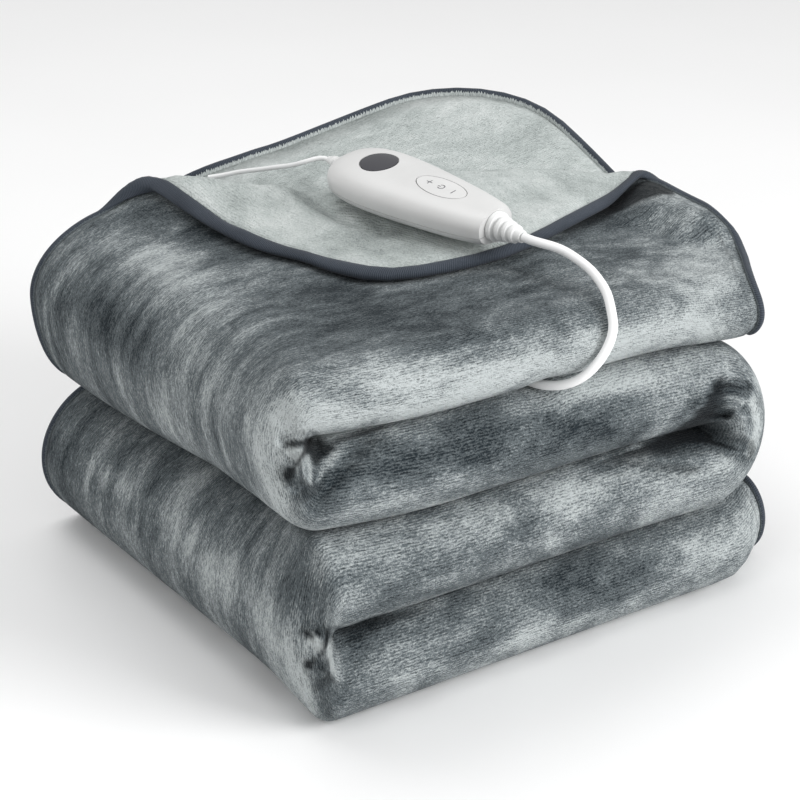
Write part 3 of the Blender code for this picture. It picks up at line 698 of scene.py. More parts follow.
@dataclass(frozen=True)
class Crease:
    """The crease that turns the top layer's corner back, and how that corner lies."""

    start: Pair = (0.045, 0.331)
    end: Pair = (0.352, 0.147)
    radius: float = 0.0078
    skew: float = 0.50
    pull: float = 1.13
    sag: float = 0.0045
    sag_over: float = 0.09
    bow: float = 0.026
    bow_span: float = 0.300
    bow_fade: float = 0.110

    def frame(self) -> tuple[Points, Points, Points]:
        """The crease's own frame on the top layer.

        Returns:
            Its start, its direction, and the direction across it to the blanket's corner.
        """
        start = np.array(self.start)
        direction = np.array(self.end) - start
        direction /= np.linalg.norm(direction)
        return start, direction, np.array([-direction[1], direction[0]])

    def turn(self, x: Points, y: Points, height: Points, lift: Points) -> tuple[Points, Points, Points]:
        """Turn the part of layer one that lies beyond the crease back over the rest.

        Args:
            x: Places along X.
            y: Places across the strip.
            height: The layer's middle, measured through the strip.
            lift: How far each point lies above the layer's middle.

        Returns:
            The points' new x, y and height.
        """
        start, direction, outward = self.frame()
        beyond = (x - start[0]) * outward[0] + (y - start[1]) * outward[1]
        angle = np.clip(beyond / self.radius, 0.0, math.pi)
        radius = self.radius - lift
        over = np.maximum(beyond - math.pi * self.radius, 0.0)
        reach = np.where(beyond <= 0.0, beyond, radius * np.sin(angle) - self.pull * over)
        passed = (x - start[0]) * direction[0] + (y - start[1]) * direction[1]
        bow = self.bow * np.sin(math.pi * np.clip(passed / self.bow_span, 0.0, 1.0)) ** 2
        bow = bow * smooth(beyond, -self.bow_fade, 0.0) * (1.0 - smooth(over, 0.0, self.bow_fade))
        shift = reach - bow - beyond
        rise = height + self.radius - radius * np.cos(angle) - self.sag * smooth(over, 0.0, self.sag_over)
        return x + shift * outward[0] - self.skew * over, y + shift * outward[1], rise


@dataclass(frozen=True)
class FoldedStack:
    """The way from the flat sheet to the folded stack, and the sizes that set it."""

    depth: float = 0.360
    width: float = 0.331
    cloth: float = 0.0095
    layer_pitch: float = 0.0155
    band_gap: float = 0.002
    turn_tight: float = 0.012
    turn_flat: float = 0.75
    right_shy: float = 0.020
    top_press: float = 0.74
    corner_radius: float = 0.080
    edge_thin: float = 0.50
    edge_taper: float = 0.008
    binding_reach: float = 0.0069
    back_gap: float = 0.004
    cord_x: float = 0.165
    cord_push: float = 0.0027
    cord_half: float = 0.018
    crease: Crease = Crease()
    left_droop: Give = Give(0.22, (0.22, -0.05), (-0.02, 0.31))
    left_droop_on_top: float = 0.36
    right_sink: Give = Give(0.05, (0.22, 0.38), (0.34, 0.05))
    right_rise: Give = Give(0.06, (0.12, 0.36), (0.10, 0.34))
    near_lift: Give = Give(0.012, (0.11, 0.0), (0.10, 0.0))
    near_lift_on_top: float = 0.30
    lobe_bulge: Give = Give(0.016, (0.16, 0.0), (0.14, 0.0))
    hub_press: Give = Give(0.020, (0.0, 0.045), (0.09, 0.0))
    hub_end: Pair = (0.125, 0.045)
    end_pull: Give = Give(0.038, (0.22, 0.37), (0.075, 0.0))
    end_tuck: Give = Give(0.030, (0.31, 0.365), (0.35, -0.10))
    corner_lift: float = 0.034
    corner_lift_over: float = 0.150
    crest: Mound = Mound((0.115, 0.335), (0.055, 0.080), 0.020)
    nest: tuple[Mound, ...] = (
        Mound((0.120, 0.170), (0.055, 0.055), -0.0035),
        Mound((0.212, 0.190), (0.050, 0.050), 0.0065),
    )
    lobe_blend: float = 0.3

    @property
    def strip(self) -> float:
        """The thickness of the strip of four layers."""
        return 3 * self.layer_pitch + self.cloth

    @property
    def pitch(self) -> float:
        """From one band to the next."""
        return self.strip + self.band_gap

    @property
    def outer_radius(self) -> float:
        """The radius of the fold that wraps the other layers."""
        return (self.strip - self.cloth) / 2

    @property
    def inner_radius(self) -> float:
        """The radius of the folds between two neighbouring layers."""
        return self.layer_pitch / 2

    @property
    def fold_line(self) -> float:
        """Where the near folds begin, across the strip."""
        return self.strip / 2

    @property
    def back_line(self) -> float:
        """Where the back fold begins, across the strip."""
        return self.width - self.inner_radius - self.cloth / 2 - self.back_gap

    @property
    def free_edge(self) -> float:
        """Where the cloth ends under its binding, across the strip."""
        return self.width - self.binding_reach

    @property
    def band_end(self) -> float:
        """Where the cloth ends under its binding, along X."""
        return self.depth - self.binding_reach

    @property
    def left_turn(self) -> float:
        """The middle of the left turns, along X."""
        return float(self.turn_reach(self.band_gap / 2 + self.strip))

    @property
    def right_turn(self) -> float:
        """The middle of the right turn, along X."""
        return self.depth - self.right_shy - self.left_turn

    @property
    def end_band(self) -> float:
        """The length of the top and bottom bands."""
        return self.band_end - self.left_turn

    @property
    def middle_band(self) -> float:
        """The length of the two bands between them."""
        return self.right_turn - self.left_turn

    @property
    def turn_length(self) -> float:
        """The strip's length round one turn."""
        return math.pi * (self.band_gap / 2 + self.strip / 2)

    @property
    def runs(self) -> tuple[float, ...]:
        """The strip's lengths: band, turn, band, turn, band, turn, band."""
        turn, middle, end = self.turn_length, self.middle_band, self.end_band
        return end, turn, middle, turn, middle, turn, end

    @property
    def length(self) -> float:
        """The strip's whole length."""
        return sum(self.runs)

    def turn_reach(self, radius: Points | float) -> Points:
        """How far layers reach sideways in a turn.

        Args:
            radius: The layers' radii in the turn.

        Returns:
            Their reaches, which are less than the radii past the tight middle.
        """
        radius = np.asarray(radius, dtype=float)
        return np.where(radius < self.turn_tight, radius,
                        self.turn_tight + self.turn_flat * (radius - self.turn_tight))

    def carry(self, along: Points, across: Points, height: Points) -> tuple[Points, Points, Points]:
        """Carry points of the strip round the turns of the stack.

        Args:
            along: Places along the strip, from the top band's end.
            across: Places across it, from the near folds.
            height: Places through it, from layer four's face to layer one's.

        Returns:
            Their x, y and z before the stack settles.
        """
        x = np.empty_like(along)
        z = np.empty_like(along)
        inner = self.band_gap / 2
        start = 0.0
        for index, run in enumerate(self.runs):
            inside = (along >= start) | (index == 0)
            if index < len(self.runs) - 1:
                inside &= along < start + run
            here = along[inside] - start
            rise = height[inside]
            band, rightward = index // 2, index // 2 % 2 == 1
            if index % 2 == 0:
                first = self.band_end if band == 0 else self.right_turn
                x[inside] = self.left_turn + here if rightward else first - here
                level = (BANDS - band) * self.pitch - 2 * inner - rise
                z[inside] = level if rightward else (BANDS - 1 - band) * self.pitch + rise
            else:
                angle = math.pi * (0.5 + here / run)
                radius = inner + (self.strip - rise if rightward else rise)
                reach = self.turn_reach(radius) * np.cos(angle)
                x[inside] = self.right_turn - reach if rightward else self.left_turn + reach
                z[inside] = (BANDS - 1 - band) * self.pitch - inner + radius * np.sin(angle)
            start += run
        return x, across, z

    def make_way(self, x: Points, z: Points) -> Points:
        """Part the two top bands along the mains cord's way between them.

        Args:
            x: Places along X.
            z: Places along Z.

        Returns:
            The shifted z.
        """
        between = 3 * self.pitch - self.band_gap / 2
        side = np.where(z > between, 1.0, -1.0)
        fade = 1.0 - smooth(np.abs(z - between), 0.0, self.strip)
        groove = np.cos(math.pi / 2 * np.clip((x - self.cord_x) / self.cord_half, -1.0, 1.0)) ** 2
        return z + side * self.cord_push * fade * groove

    def settle(self, x: Points, y: Points, z: Points) -> tuple[Points, Points, Points]:
        """The stack's own sag, as smooth shifts of its points.

        Args:
            x: Places along X.
            y: Places along Y.
            z: Places along Z.

        Returns:
            The shifted x, y and z.
        """
        second, third = 2 * self.pitch, 3 * self.pitch
        z = self.make_way(x, z)
        above = np.maximum(z - third, 0.0)
        layer_share = np.clip(above / self.strip, 0.0, 1.0)
        z = np.minimum(z, third) + self.top_press * above
        droop_share = 1.0 - (1.0 - self.left_droop_on_top) * smooth(z, second, third)
        scale = 1.0 - droop_share * self.left_droop.at(x, y) - self.right_sink.at(x, y)
        scale = scale + self.right_rise.at(x, y)
        start, _, outward = self.crease.frame()
        beyond = (x - start[0]) * outward[0] + (y - start[1]) * outward[1]
        rise = self.corner_lift * np.sin(math.pi / 2 * np.clip(beyond / self.corner_lift_over, 0.0, 1.0))
        rise = rise * np.clip(above / (self.strip - self.layer_pitch), 0.0, 1.0)
        rise += self.crest.at(x, y) * layer_share ** 2
        rise += sum(mound.at(x, y) for mound in self.nest) * layer_share
        on_top = 1.0 - (1.0 - self.near_lift_on_top) * smooth(z, third, BANDS * self.pitch)
        rise += self.near_lift.at(x, y) * smooth(z, self.pitch, second) * on_top
        blend = self.lobe_blend * self.pitch
        draw = self.lobe_bulge.at(x, y) * smooth(z, second - blend, second + blend)
        draw += self.hub_press.at(x, y) * smooth(x, *self.hub_end)
        draw += self.end_pull.at(x, y) * smooth(z, third - self.band_gap, third)
        tuck = self.end_tuck.at(x, y) * smooth(z, self.pitch, self.pitch - self.band_gap)
        return x - draw, y + tuck, z * scale + rise

    def place(self, along: Points, across: Points, height: Points, lift: Points, on_top: Points) -> Points:
        """Carry flat points to the stack; those of layer one in the top band go round the crease first.

        Args:
            along: Places along the strip.
            across: Places across it.
            height: Places through it.
            lift: How far each point lies above its layer's middle.
            on_top: Which points are layer one's, in the top band.

        Returns:
            The points in the maker's frame.
        """
        along, across, height = along.copy(), across.copy(), height.copy()
        if np.any(on_top):
            x = self.band_end - along[on_top]
            x, y, rise = self.crease.turn(x, across[on_top], height[on_top], lift[on_top])
            along[on_top], across[on_top], height[on_top] = self.band_end - x, y, rise
        return np.stack(self.settle(*self.carry(along, across, height)), axis=-1)

    def corner_inset(self, along: Points) -> Points:
        """How far the free edge steps in where the sheet's corners are round.

        Args:
            along: Places along the strip.

        Returns:
            The step at each of them.
        """
        from_end = np.minimum(along, self.length - along)
        short = np.clip(self.corner_radius - from_end, 0.0, self.corner_radius)
        return self.corner_radius - np.sqrt(self.corner_radius ** 2 - short ** 2)


@dataclass(frozen=True)
class SheetLayout:
    """The flat sheet's grid: its stations along the strip, and its nodes across each of them."""

    stack: FoldedStack = FoldedStack()
    corner_steps: int = 8
    top_steps: int = 16
    crease_steps: int = 16
    turn_steps: tuple[int, int, int] = (52, 48, 46)
    band_steps: tuple[int, int, int] = (30, 30, 30)
    band_crowding: float = 0.6
    crease_spread: Pair = (0.120, 0.048)
    flap_least: float = 0.010
    even_before: float = 0.020
    flap_nodes: int = 18
    bend_nodes: int = 12
    front_nodes: int = 24
    near_nodes: int = 62
    layer_nodes: tuple[int, int, int] = (12, 6, 14)
    fold_nodes: tuple[int, int] = (10, 6)
    rim_shares: Triple = (0.0, 0.45, 1.0)

    def stations(self) -> Points:
        """The stations of the sheet's grid.

        Returns:
            Places along the strip, closer round its corners, its crease and its turns.
        """
        stack = self.stack
        quarter = np.linspace(0.0, math.pi / 2, self.corner_steps + 1)
        corner = stack.corner_radius * (1.0 - np.cos(quarter))
        crease_from, crease_to = (stack.band_end - x for x in self.crease_spread)
        lines = [corner]
        lines.append(np.linspace(stack.corner_radius, crease_from, self.top_steps + 1)[1:])
        lines.append(np.linspace(crease_from, crease_to, self.crease_steps + 1)[1:])
        lines.append([stack.end_band])
        start = stack.end_band
        for turn, band in zip(self.turn_steps, self.band_steps):
            lines.append(np.linspace(start, start + stack.turn_length, turn + 1)[1:])
            start += stack.turn_length
            end = min(start + stack.middle_band, stack.length - stack.corner_radius)
            even = np.linspace(0.0, 1.0, band + 1)[1:]
            crowded = (1.0 - np.cos(math.pi * even)) / 2
            share = even + self.band_crowding * (crowded - even)
            lines.append(start + (end - start) * share)
            start = end
        lines.append(stack.length - corner[-2::-1])
        return np.concatenate(lines)

    def layer_one(self, along: float) -> Points:
        """The nodes of layer one at a station.

        Args:
            along: The station.

        Returns:
            Places across the strip, from the layer's free edge to the near fold.
        """
        stack = self.stack
        edge = stack.free_edge - float(stack.corner_inset(along))
        start, direction, outward = stack.crease.frame()
        bend = math.pi * stack.crease.radius / outward[1]
        crossing = start[1] + (stack.band_end - along - start[0]) * direction[1] / direction[0]
        crossing = min(crossing, edge - bend - self.flap_least)
        rim = edge - np.array(self.rim_shares) * stack.edge_taper
        flap = np.concatenate([rim, np.linspace(rim[-1], crossing + bend, self.flap_nodes - 1)[1:]])
        crease = np.linspace(crossing + bend, crossing, self.bend_nodes + 1)[1:]
        front = np.linspace(crossing, stack.fold_line, self.front_nodes + 1)[1:]
        on_crease = np.concatenate([flap, crease, front])
        even = np.linspace(edge, stack.fold_line, len(on_crease))
        share = float(smooth(along, stack.end_band - self.even_before, stack.end_band + stack.turn_length))
        return on_crease * (1.0 - share) + even * share

    def bend(self, centre: Pair, radius: float, turns: Points, normal: float) -> list[Row]:
        """The nodes round a fold, after its first.

        Args:
            centre: The fold's centre, across the strip and through it.
            radius: The sheet's radius there.
            turns: The nodes' angles.
            normal: 1 where the sheet's outside faces away from the centre, and -1 where it faces it.

        Returns:
            A row for each node.
        """
        ways = [(math.cos(turn), math.sin(turn)) for turn in turns[1:]]
        return [(centre[0] + radius * c, centre[1] + radius * s, normal * c, normal * s) for c, s in ways]

    def level(self, places: Points, layer: int, normal: float) -> list[Row]:
        """The nodes along a flat layer, after its first.

        Args:
            places: The nodes' places across the strip.
            layer: How many layers lie under this one.
            normal: 1 where the sheet's outside faces up, and -1 where it faces down.

        Returns:
            A row for each node.
        """
        height = self.stack.cloth / 2 + layer * self.stack.layer_pitch
        return [(float(across), height, 0.0, normal) for across in places[1:]]

    def profile(self, along: float) -> tuple[Points, int]:
        """The sheet's nodes across one station.

        Args:
            along: The station.

        Returns:
            Rows of (across, height, normal across, normal height), whose normal is the outside's, and how
            many of them are layer one's.
        """
        stack, near = self.stack, self.stack.fold_line
        first = self.layer_one(along)
        edge = stack.free_edge - float(stack.corner_inset(along))
        middle = (near, stack.strip / 2)
        behind = (stack.back_line, stack.cloth / 2 + stack.layer_pitch / 2)
        four, three, two = self.layer_nodes
        back, inner = self.fold_nodes
        half = math.pi / 2
        rows = [(float(across), stack.strip - stack.cloth / 2, 0.0, 1.0) for across in first]
        rows += self.bend(middle, stack.outer_radius, np.linspace(half, 3 * half, self.near_nodes + 1), 1.0)
        rows += self.level(np.linspace(near, stack.back_line, four + 1), 0, -1.0)
        rows += self.bend(behind, stack.inner_radius, np.linspace(-half, half, back + 1), 1.0)
        rows += self.level(np.linspace(stack.back_line, near, three + 1), 1, 1.0)
        rows += self.bend(middle, stack.inner_radius, np.linspace(3 * half, half, inner + 1), -1.0)
        rows += self.level(np.linspace(near, edge, two + 1), 2, -1.0)
        return np.array(rows), len(first)


# Creases, strokes and shades are laid out in millimetres. They fade out on cloth that lies this far behind
# or before their lines. The least reach of a stroke is a hard rim's.
MM = 0.001
DEPTH_NEAR = 22
DEPTH_FAR = 40
RIM = 0.2


@dataclass(frozen=True)
class Slant:
    """The slant that creases and shades are laid out on: the stack seen from beyond its near corner."""

    bearing: float = -34.0
    rise: float = 24.0

    def axes(self) -> Points:
        """The slant's own directions.

        Returns:
            Right, up and outward, one in each row.
        """
        bearing, rise = math.radians(self.bearing), math.radians(self.rise)
        level = math.cos(rise)
        outward = (math.sin(bearing) * level, -math.cos(bearing) * level, math.sin(rise))
        right = (math.cos(bearing), math.sin(bearing), 0.0)
        return np.array([right, np.cross(outward, right), outward])

    def near(self, points: Points, line: tuple[Place, ...]) -> tuple[Points, Points, Points, Points, Points]:
        """Where points lie beside a line, as seen along the slant.

        Args:
            points: The points, in metres.
            line: The line's own points, two or more, in millimetres.

        Returns:
            Each point's distance from the line, its side (1 to the line's right), how far it lies past
            the line's ends, how far behind or before the line it is, and where along the line it is,
            counted in the line's own points. All lengths are millimetres.
        """
        seen, drawn = points / MM @ self.axes().T, np.array(line) @ self.axes().T
        best = np.full(len(points), np.inf)
        side, past, deep, where = (np.zeros_like(best) for _ in range(4))
        last = len(drawn) - 2
        for index, (start, end) in enumerate(zip(drawn[:-1], drawn[1:])):
            run = end[:2] - start[:2]
            length = float(np.linalg.norm(run))
            way = run / length
            away = seen[:, :2] - start[:2]
            walked = away @ way
            share = np.clip(walked / length, 0.0, 1.0)
            off = away - share[:, None] * run
            distance = np.linalg.norm(off, axis=1)
            closer = distance < best
            best = np.where(closer, distance, best)
            right = away[:, 0] * way[1] - away[:, 1] * way[0]
            side = np.where(closer, np.sign(right), side)
            over = np.maximum(-walked if index == 0 else 0.0, walked - length if index == last else 0.0)
            past = np.where(closer, np.maximum(over, 0.0), past)
            deep = np.where(closer, seen[:, 2] - start[2] - share * (end[2] - start[2]), deep)
            where = np.where(closer, index + share, where)
        return best, side, past, deep, where


SLANT = Slant()


@dataclass(frozen=True)
class Swell:
    """A soft ridge along a line, or a trough where its height is less than zero."""

    line: tuple[Place, ...]
    core: float
    edge: float
    height: float

    def at(self, points: Points) -> Points:
        """How far the ridge moves points out along the slant.

        Args:
            points: Points of the smooth stack.

        Returns:
            How far each of them moves.
        """
        distance, _, _, deep, _ = SLANT.near(points, self.line)
        share = 1.0 - smooth(distance, self.core, self.edge)
        return MM * self.height * share * (1.0 - smooth(np.abs(deep), DEPTH_NEAR, DEPTH_FAR))


@dataclass(frozen=True)
class Ledge:
    """A step along a line: to the line's right the cloth falls at once, and comes back slowly."""

    line: tuple[Place, ...]
    drop: float
    sharp: float
    flat: float
    fade: float

    def at(self, points: Points) -> Points:
        """How far the step moves points out along the slant.

        Args:
            points: Points of the smooth stack.

        Returns:
            How far each of them moves.
        """
        distance, side, past, deep, _ = SLANT.near(points, self.line)
        inside = distance * side
        share = smooth(inside, -self.sharp / 2, self.sharp / 2)
        share = share * (1.0 - smooth(inside, self.flat, self.fade)) * (1.0 - smooth(past, 0.0, self.flat))
        return -MM * self.drop * share * (1.0 - smooth(np.abs(deep), DEPTH_NEAR, DEPTH_FAR))


@dataclass(frozen=True)
class Stroke:
    """A stroke of painted shade in a hollow, or of painted highlight on a crest, along a line, with its own
    reach to each side all along.
    """

    line: tuple[Place, ...]
    left: tuple[float, ...]
    right: tuple[float, ...]
    soft: Pair
    amount: float

    def at(self, points: Points) -> Points:
        """How strong the stroke is at points.

        Args:
            points: Points of the smooth stack.

        Returns:
            The strength at each of them.
        """
        distance, side, past, deep, where = SLANT.near(points, self.line)
        knots = np.arange(len(self.line))
        share = 1.0 - smooth(past, 0.0, max(self.soft))
        for way, reach, soft in ((-1.0, self.left, self.soft[0]), (1.0, self.right, self.soft[1])):
            limit = np.interp(where, knots, reach)
            share = share * (1.0 - smooth(distance * side * way - limit, -soft / 2, soft / 2))
        return self.amount * share * (1.0 - smooth(np.abs(deep), DEPTH_NEAR, DEPTH_FAR))


@dataclass(frozen=True)
class Shade:
    """A soft patch where the pile is painted darker or lighter; the patches hold nap patches, painted sheen
    and painted shade.
    """

    middle: Place
    half: Pair
    tilt: float
    amount: float
    reach: float = 60

    def at(self, points: Points) -> Points:
        """How much the patch lightens the pile at points.

        Args:
            points: Points of the smooth stack.

        Returns:
            The change at each of them.
        """
        across, up, deep = ((points / MM - np.array(self.middle)) @ SLANT.axes().T).T
        turn = math.radians(self.tilt)
        along = across * math.cos(turn) + up * math.sin(turn)
        beside = up * math.cos(turn) - across * math.sin(turn)
        away = (along / self.half[0]) ** 2 + (beside / self.half[1]) ** 2
        return self.amount * np.exp(-away ** 1.4) * (1.0 - smooth(np.abs(deep), self.reach, 2 * self.reach))


UPPER_SWIRL = (
    Swell(((-13, 18, 193), (-14, 20, 176), (-8, 28, 151), (4, 30, 128)), 3, 11, 3),
    Ledge(((-1, 0, 193), (-1, 1, 183), (-5, 1, 179), (-8, 4, 174), (-10, 8, 167)), 3.4, 2, 4, 16),
    Swell(((-9, 6, 190), (-3, 0, 191)), 1.5, 4.5, -6),
    Swell(((-8, 6, 182), (-4, 1, 185)), 2, 6, 3),
    Swell(((-9, 7, 172), (-7, 4, 168)), 2, 5, -8),
    Swell(((-1, 1, 181), (2, 2, 173), (2, 1, 166)), 1, 4.5, 2.8),
    Swell(((6, 6, 185), (13, 12, 176), (12, 8, 171), (10, 5, 167)), 3, 7.5, -9),
    Swell(((24, 14, 173), (15, 5, 167), (8, 2, 162)), 2, 7, 3),
    Swell(((-2, 1, 162), (4, 0, 159)), 2.5, 7, -5),
    Swell(((50, 19, 173), (33, 9, 169), (20, 4, 164), (10, 0, 157), (5, 0, 152)), 1, 9, -4),
    Swell(((62, 12, 164), (40, 4, 158), (24, 1, 150)), 2, 12, 2.5),
)
LOWER_SWIRL = (
    Swell(((0, 30, 56), (2, 32, 38), (6, 24, 22)), 3, 10, 2.5),
    Ledge(((11, 0, 73), (11, 0, 64), (8, 4, 55), (5, 10, 48)), 3.2, 2, 4, 15),
    Swell(((4, 10, 70), (10, 2, 71)), 1, 4, -5),
    Swell(((5, 9, 62), (8, 3, 60)), 2.5, 8, 3),
    Swell(((5, 9, 46), (9, 3, 50)), 1.5, 5, -8),
    Swell(((12, 0, 62), (19, 4, 50), (19, 1, 40)), 1, 4.5, 2.4),
    Swell(((16, 2, 68), (33, 12, 56), (50, 12, 60)), 2, 6, -6),
    Swell(((8, 7, 38), (12, 1, 36)), 2.5, 7, -4.5),
    Swell(((38, 8, 48), (26, 2, 40), (20, 1, 30)), 1, 8, -2.5),
)
RIGHT_POCKET = (
    Ledge(((252, 21, 113), (264, 15, 118), (264, 4, 129), (272, 1, 135), (278, 0, 143), (283, 1, 151)), 9,
          1.5, 6, 26),
    Swell(((285, 1, 149), (297, 1, 147), (310, 1, 142)), 1.2, 5, -7),
    Swell(((276, 0, 141), (288, 0, 140), (302, 0, 134)), 2.5, 6, 7),
    Swell(((274, 2, 132), (286, 2, 132), (298, 3, 127)), 1, 4.5, -7),
    Swell(((296, 2, 126), (306, 3, 119), (309, 3, 108)), 3, 9, 6),
    Swell(((262, 19, 112), (285, 18, 112), (300, 8, 106), (311, 1, 100)), 3, 9, -11),
    Swell(((240, 15, 109), (268, 10, 104), (292, 3, 98)), 2, 6, 3),
    Swell(((216, 15, 110), (234, 9, 106), (252, 5, 101), (268, 3, 96)), 0.8, 4, -5.5),
)
SOFT_FOLDS = (
    Swell(((2, 212, 178), (1, 150, 170), (0, 100, 160)), 4, 20, -2),
    Swell(((3, 250, 150), (2, 180, 140), (-4, 100, 135)), 4, 20, 2),
)
TOP_FOLDS = (
    Swell(((351, 126, 207), (352, 104, 205)), 6, 42, 15),
    Swell(((140, 275, 226), (132, 237, 227), (127, 207, 222), (130, 183, 220), (140, 159, 220)), 1, 7, 2.6),
    Swell(((144, 246, 228), (143, 213, 225), (142, 182, 221), (150, 152, 221)), 0.8, 6, -3),
    Swell(((161, 230, 228), (156, 207, 226), (154, 171, 223)), 0.6, 4.5, 1.2),
    Swell(((100, 262, 227), (94, 236, 222)), 1, 10, -1.5),
    Swell(((196, 128, 224), (230, 132, 226), (262, 146, 227)), 2, 12, -2),
    Swell(((60, 70, 213), (110, 120, 211), (150, 128, 212)), 2, 16, -1.5),
    Swell(((20, 200, 203), (60, 190, 207), (100, 165, 209)), 2, 18, 2.2),
)
RELIEF = UPPER_SWIRL + LOWER_SWIRL + RIGHT_POCKET + SOFT_FOLDS
# No crease goes deeper than this, so that none reaches the layer behind.
DEEPEST = 0.0060
# Painted shade in the hollows of the two swirls and the right pocket, and under the flap's binding.
PAINTED_HOLLOW_SHADE = (
    Stroke(((-9, 6, 188), (-6, 2, 190), (-2, 0, 190)), (0.6, 1.2, 0.6), (1.4, 3.6, 2.4), (1.6, 3.0), 0.88),
    Stroke(((0, 1, 190), (-1, 1, 184), (-4, 0, 181), (-7, 2, 176), (-8, 5, 173)), (2.0, 2.6, 1.8, 1.4, 1.0),
           (RIM,) * 5, (2.4, 1.6), 0.84),
    Stroke(((-6, 3, 174), (-8, 5, 171), (-8, 6, 167)), (1.8, 3.8, 2.0), (1.6, 3.2, 1.8), (2.2, 2.2), 0.92),
    Stroke(((20, 18, 176), (15, 13, 174), (10, 7, 171)), (10.0, 6.0, 1.2), (8.5, 5.0, 1.2), (3.6, 3.6),
           0.84),
    Stroke(((29, 18, 175), (46, 19, 174), (63, 21, 173)), (1.5, 1.5, 1.0), (2.0, 1.6, 1.0), (1.5, 1.8),
           0.70),
    Stroke(((7, 1, 162), (-3, 3, 155)), (3.6, 3.2), (3.2, 2.8), (1.5, 1.5), 0.36),
    Stroke(((55, 16, 172), (39, 9, 168), (27, 3, 163), (16, 1, 157), (8, 0, 152)),
           (1.4, 2.0, 1.6, 1.2, 0.4), (1.0, 1.4, 1.2, 0.8, 0.4), (3.0, 2.0), 0.50),
    Stroke(((4, 13, 67), (6, 8, 69), (9, 4, 70)), (0.6, 1.0, 0.6), (1.2, 3.2, 1.6), (1.5, 2.6), 0.86),
    Stroke(((11, 1, 71), (11, 1, 66), (10, 2, 61), (8, 4, 56), (5, 9, 51)), (1.8, 1.6, 1.2, 1.0, 0.6),
           (RIM,) * 5, (2.0, 1.5), 0.84),
    Stroke(((6, 7, 52), (5, 10, 48), (5, 11, 45)), (1.8, 3.2, 1.6), (1.6, 2.8, 1.4), (2.0, 2.0), 0.92),
    Stroke(((12, 0, 69), (37, 21, 55), (59, 20, 55), (85, 18, 54)), (1.0, 1.0, 1.0, 1.0),
           (0.6, 2.4, 3.2, 3.2), (1.0, 4.5), 0.60),
    Stroke(((14, 0, 43), (8, 9, 33)), (3.0, 2.6), (2.8, 2.4), (1.5, 1.5), 0.34),
    Stroke(((214, 18, 112), (238, 19, 112), (252, 19, 112), (265, 22, 112), (264, 5, 127), (271, 2, 131),
           (276, 0, 139), (283, 1, 147), (287, 2, 151)), (RIM,) * 9,
           (2.0, 5.0, 8.0, 11.0, 13.0, 13.0, 12.0, 10.0, 7.0), (0.7, 8.0), 0.80),
    Stroke(((245, 19, 112), (263, 18, 111), (283, 18, 110), (296, 13, 107)), (3.0, 4.0, 4.0, 2.0),
           (2.0, 3.0, 3.0, 1.6), (3.0, 3.0), 0.72),
    Stroke(((285, 1, 148), (298, 1, 146), (311, 1, 140)), (1.0, 1.8, 0.4), (0.9, 1.6, 0.4), (1.6, 1.4),
           0.75),
    Stroke(((272, 3, 130), (284, 3, 130), (301, 4, 124)), (1.0, 2.2, 0.6), (0.8, 2.0, 0.5), (1.8, 1.6),
           0.75),
    Stroke(((273, 19, 111), (287, 13, 108), (299, 8, 104), (311, 1, 99)), (3.2, 2.2, 1.4, 0.3),
           (3.0, 2.0, 1.2, 0.3), (2.0, 1.4), 0.85),
    Stroke(((215, 16, 111), (237, 9, 106), (256, 4, 100), (274, 2, 95)), (1.0, 3.0, 4.0, 3.0),
           (0.6, 0.6, 0.6, 0.6), (4.0, 1.6), 0.55),
    Stroke(((304, 142, 213), (336, 135, 209), (350, 121, 208)), (4.0, 10.0, 8.0), (2.0, 6.0, 3.0),
           (2.5, 2.5), 0.92),
    Stroke(((267, 128, 214), (305, 138, 212), (332, 141, 210)), (6.0, 6.0, 4.0), (5.0, 4.0, 2.0),
           (3.0, 4.0), 0.74),
)
# Painted highlights on the crests of the two swirls and the right pocket.
PAINTED_CREST_HIGHLIGHTS = (
    Stroke(((-7, 3, 186), (-4, 1, 182)), (3.0, 3.0), (3.0, 3.0), (2.4, 2.4), 0.60),
    Stroke(((7, 9, 176), (4, 3, 171), (3, 1, 164)), (0.9, 1.2, 0.8), (0.9, 1.2, 0.8), (1.6, 1.6), 0.24),
    Stroke(((25, 11, 172), (14, 5, 167), (8, 2, 163)), (1.8, 1.8, 1.0), (1.8, 1.8, 1.0), (2.0, 2.0), 0.34),
    Stroke(((6, 6, 66), (9, 3, 61)), (3.0, 3.0), (3.0, 3.0), (2.4, 2.4), 0.60),
    Stroke(((13, 0, 65), (13, 0, 55), (15, 1, 46)), (0.9, 1.2, 0.8), (0.9, 1.2, 0.8), (1.6, 1.6), 0.24),
    Stroke(((288, 1, 142), (302, 1, 136), (314, 0, 130)), (1.6, 2.0, 1.6), (1.6, 2.0, 1.6), (2.5, 2.5),
           0.30),
    Stroke(((315, 0, 133), (321, 0, 111), (316, 0, 96)), (2.6, 3.0, 2.6), (2.6, 3.0, 2.6), (4.0, 4.0),
           0.34),
)
# Painted shade in the reverse's folds, and a painted shadow under the controller's edge.
REVERSE_PAINTED_SHADE = (
    Stroke(((146, 244, 228), (145, 211, 225), (143, 180, 221), (152, 151, 221)), (1.0, 2.2, 2.4, 1.0),
           (0.8, 1.6, 1.8, 0.8), (5.0, 4.0), 0.26),
    Stroke(((160, 223, 228), (156, 200, 225), (158, 166, 223), (163, 150, 223), (170, 121, 223)),
           (3.0, 3.6, 3.4, 3.0, 2.0), (0.5, 1.0, 1.2, 1.0, 0.6), (2.0, 2.5), 0.42),
    Stroke(((150, 300, 217), (165, 289, 216), (189, 277, 216)), (0.6, 0.8, 0.6), (1.6, 2.2, 1.8),
           (1.0, 3.0), 0.24),
)


def pushed(points: Points) -> Points:
    """How far the creases move each point out along the slant, and never in by more than the deepest."""
    push = sum(fold.at(points) for fold in RELIEF)
    return np.where(push < 0.0, DEEPEST * np.tanh(push / DEEPEST), push)


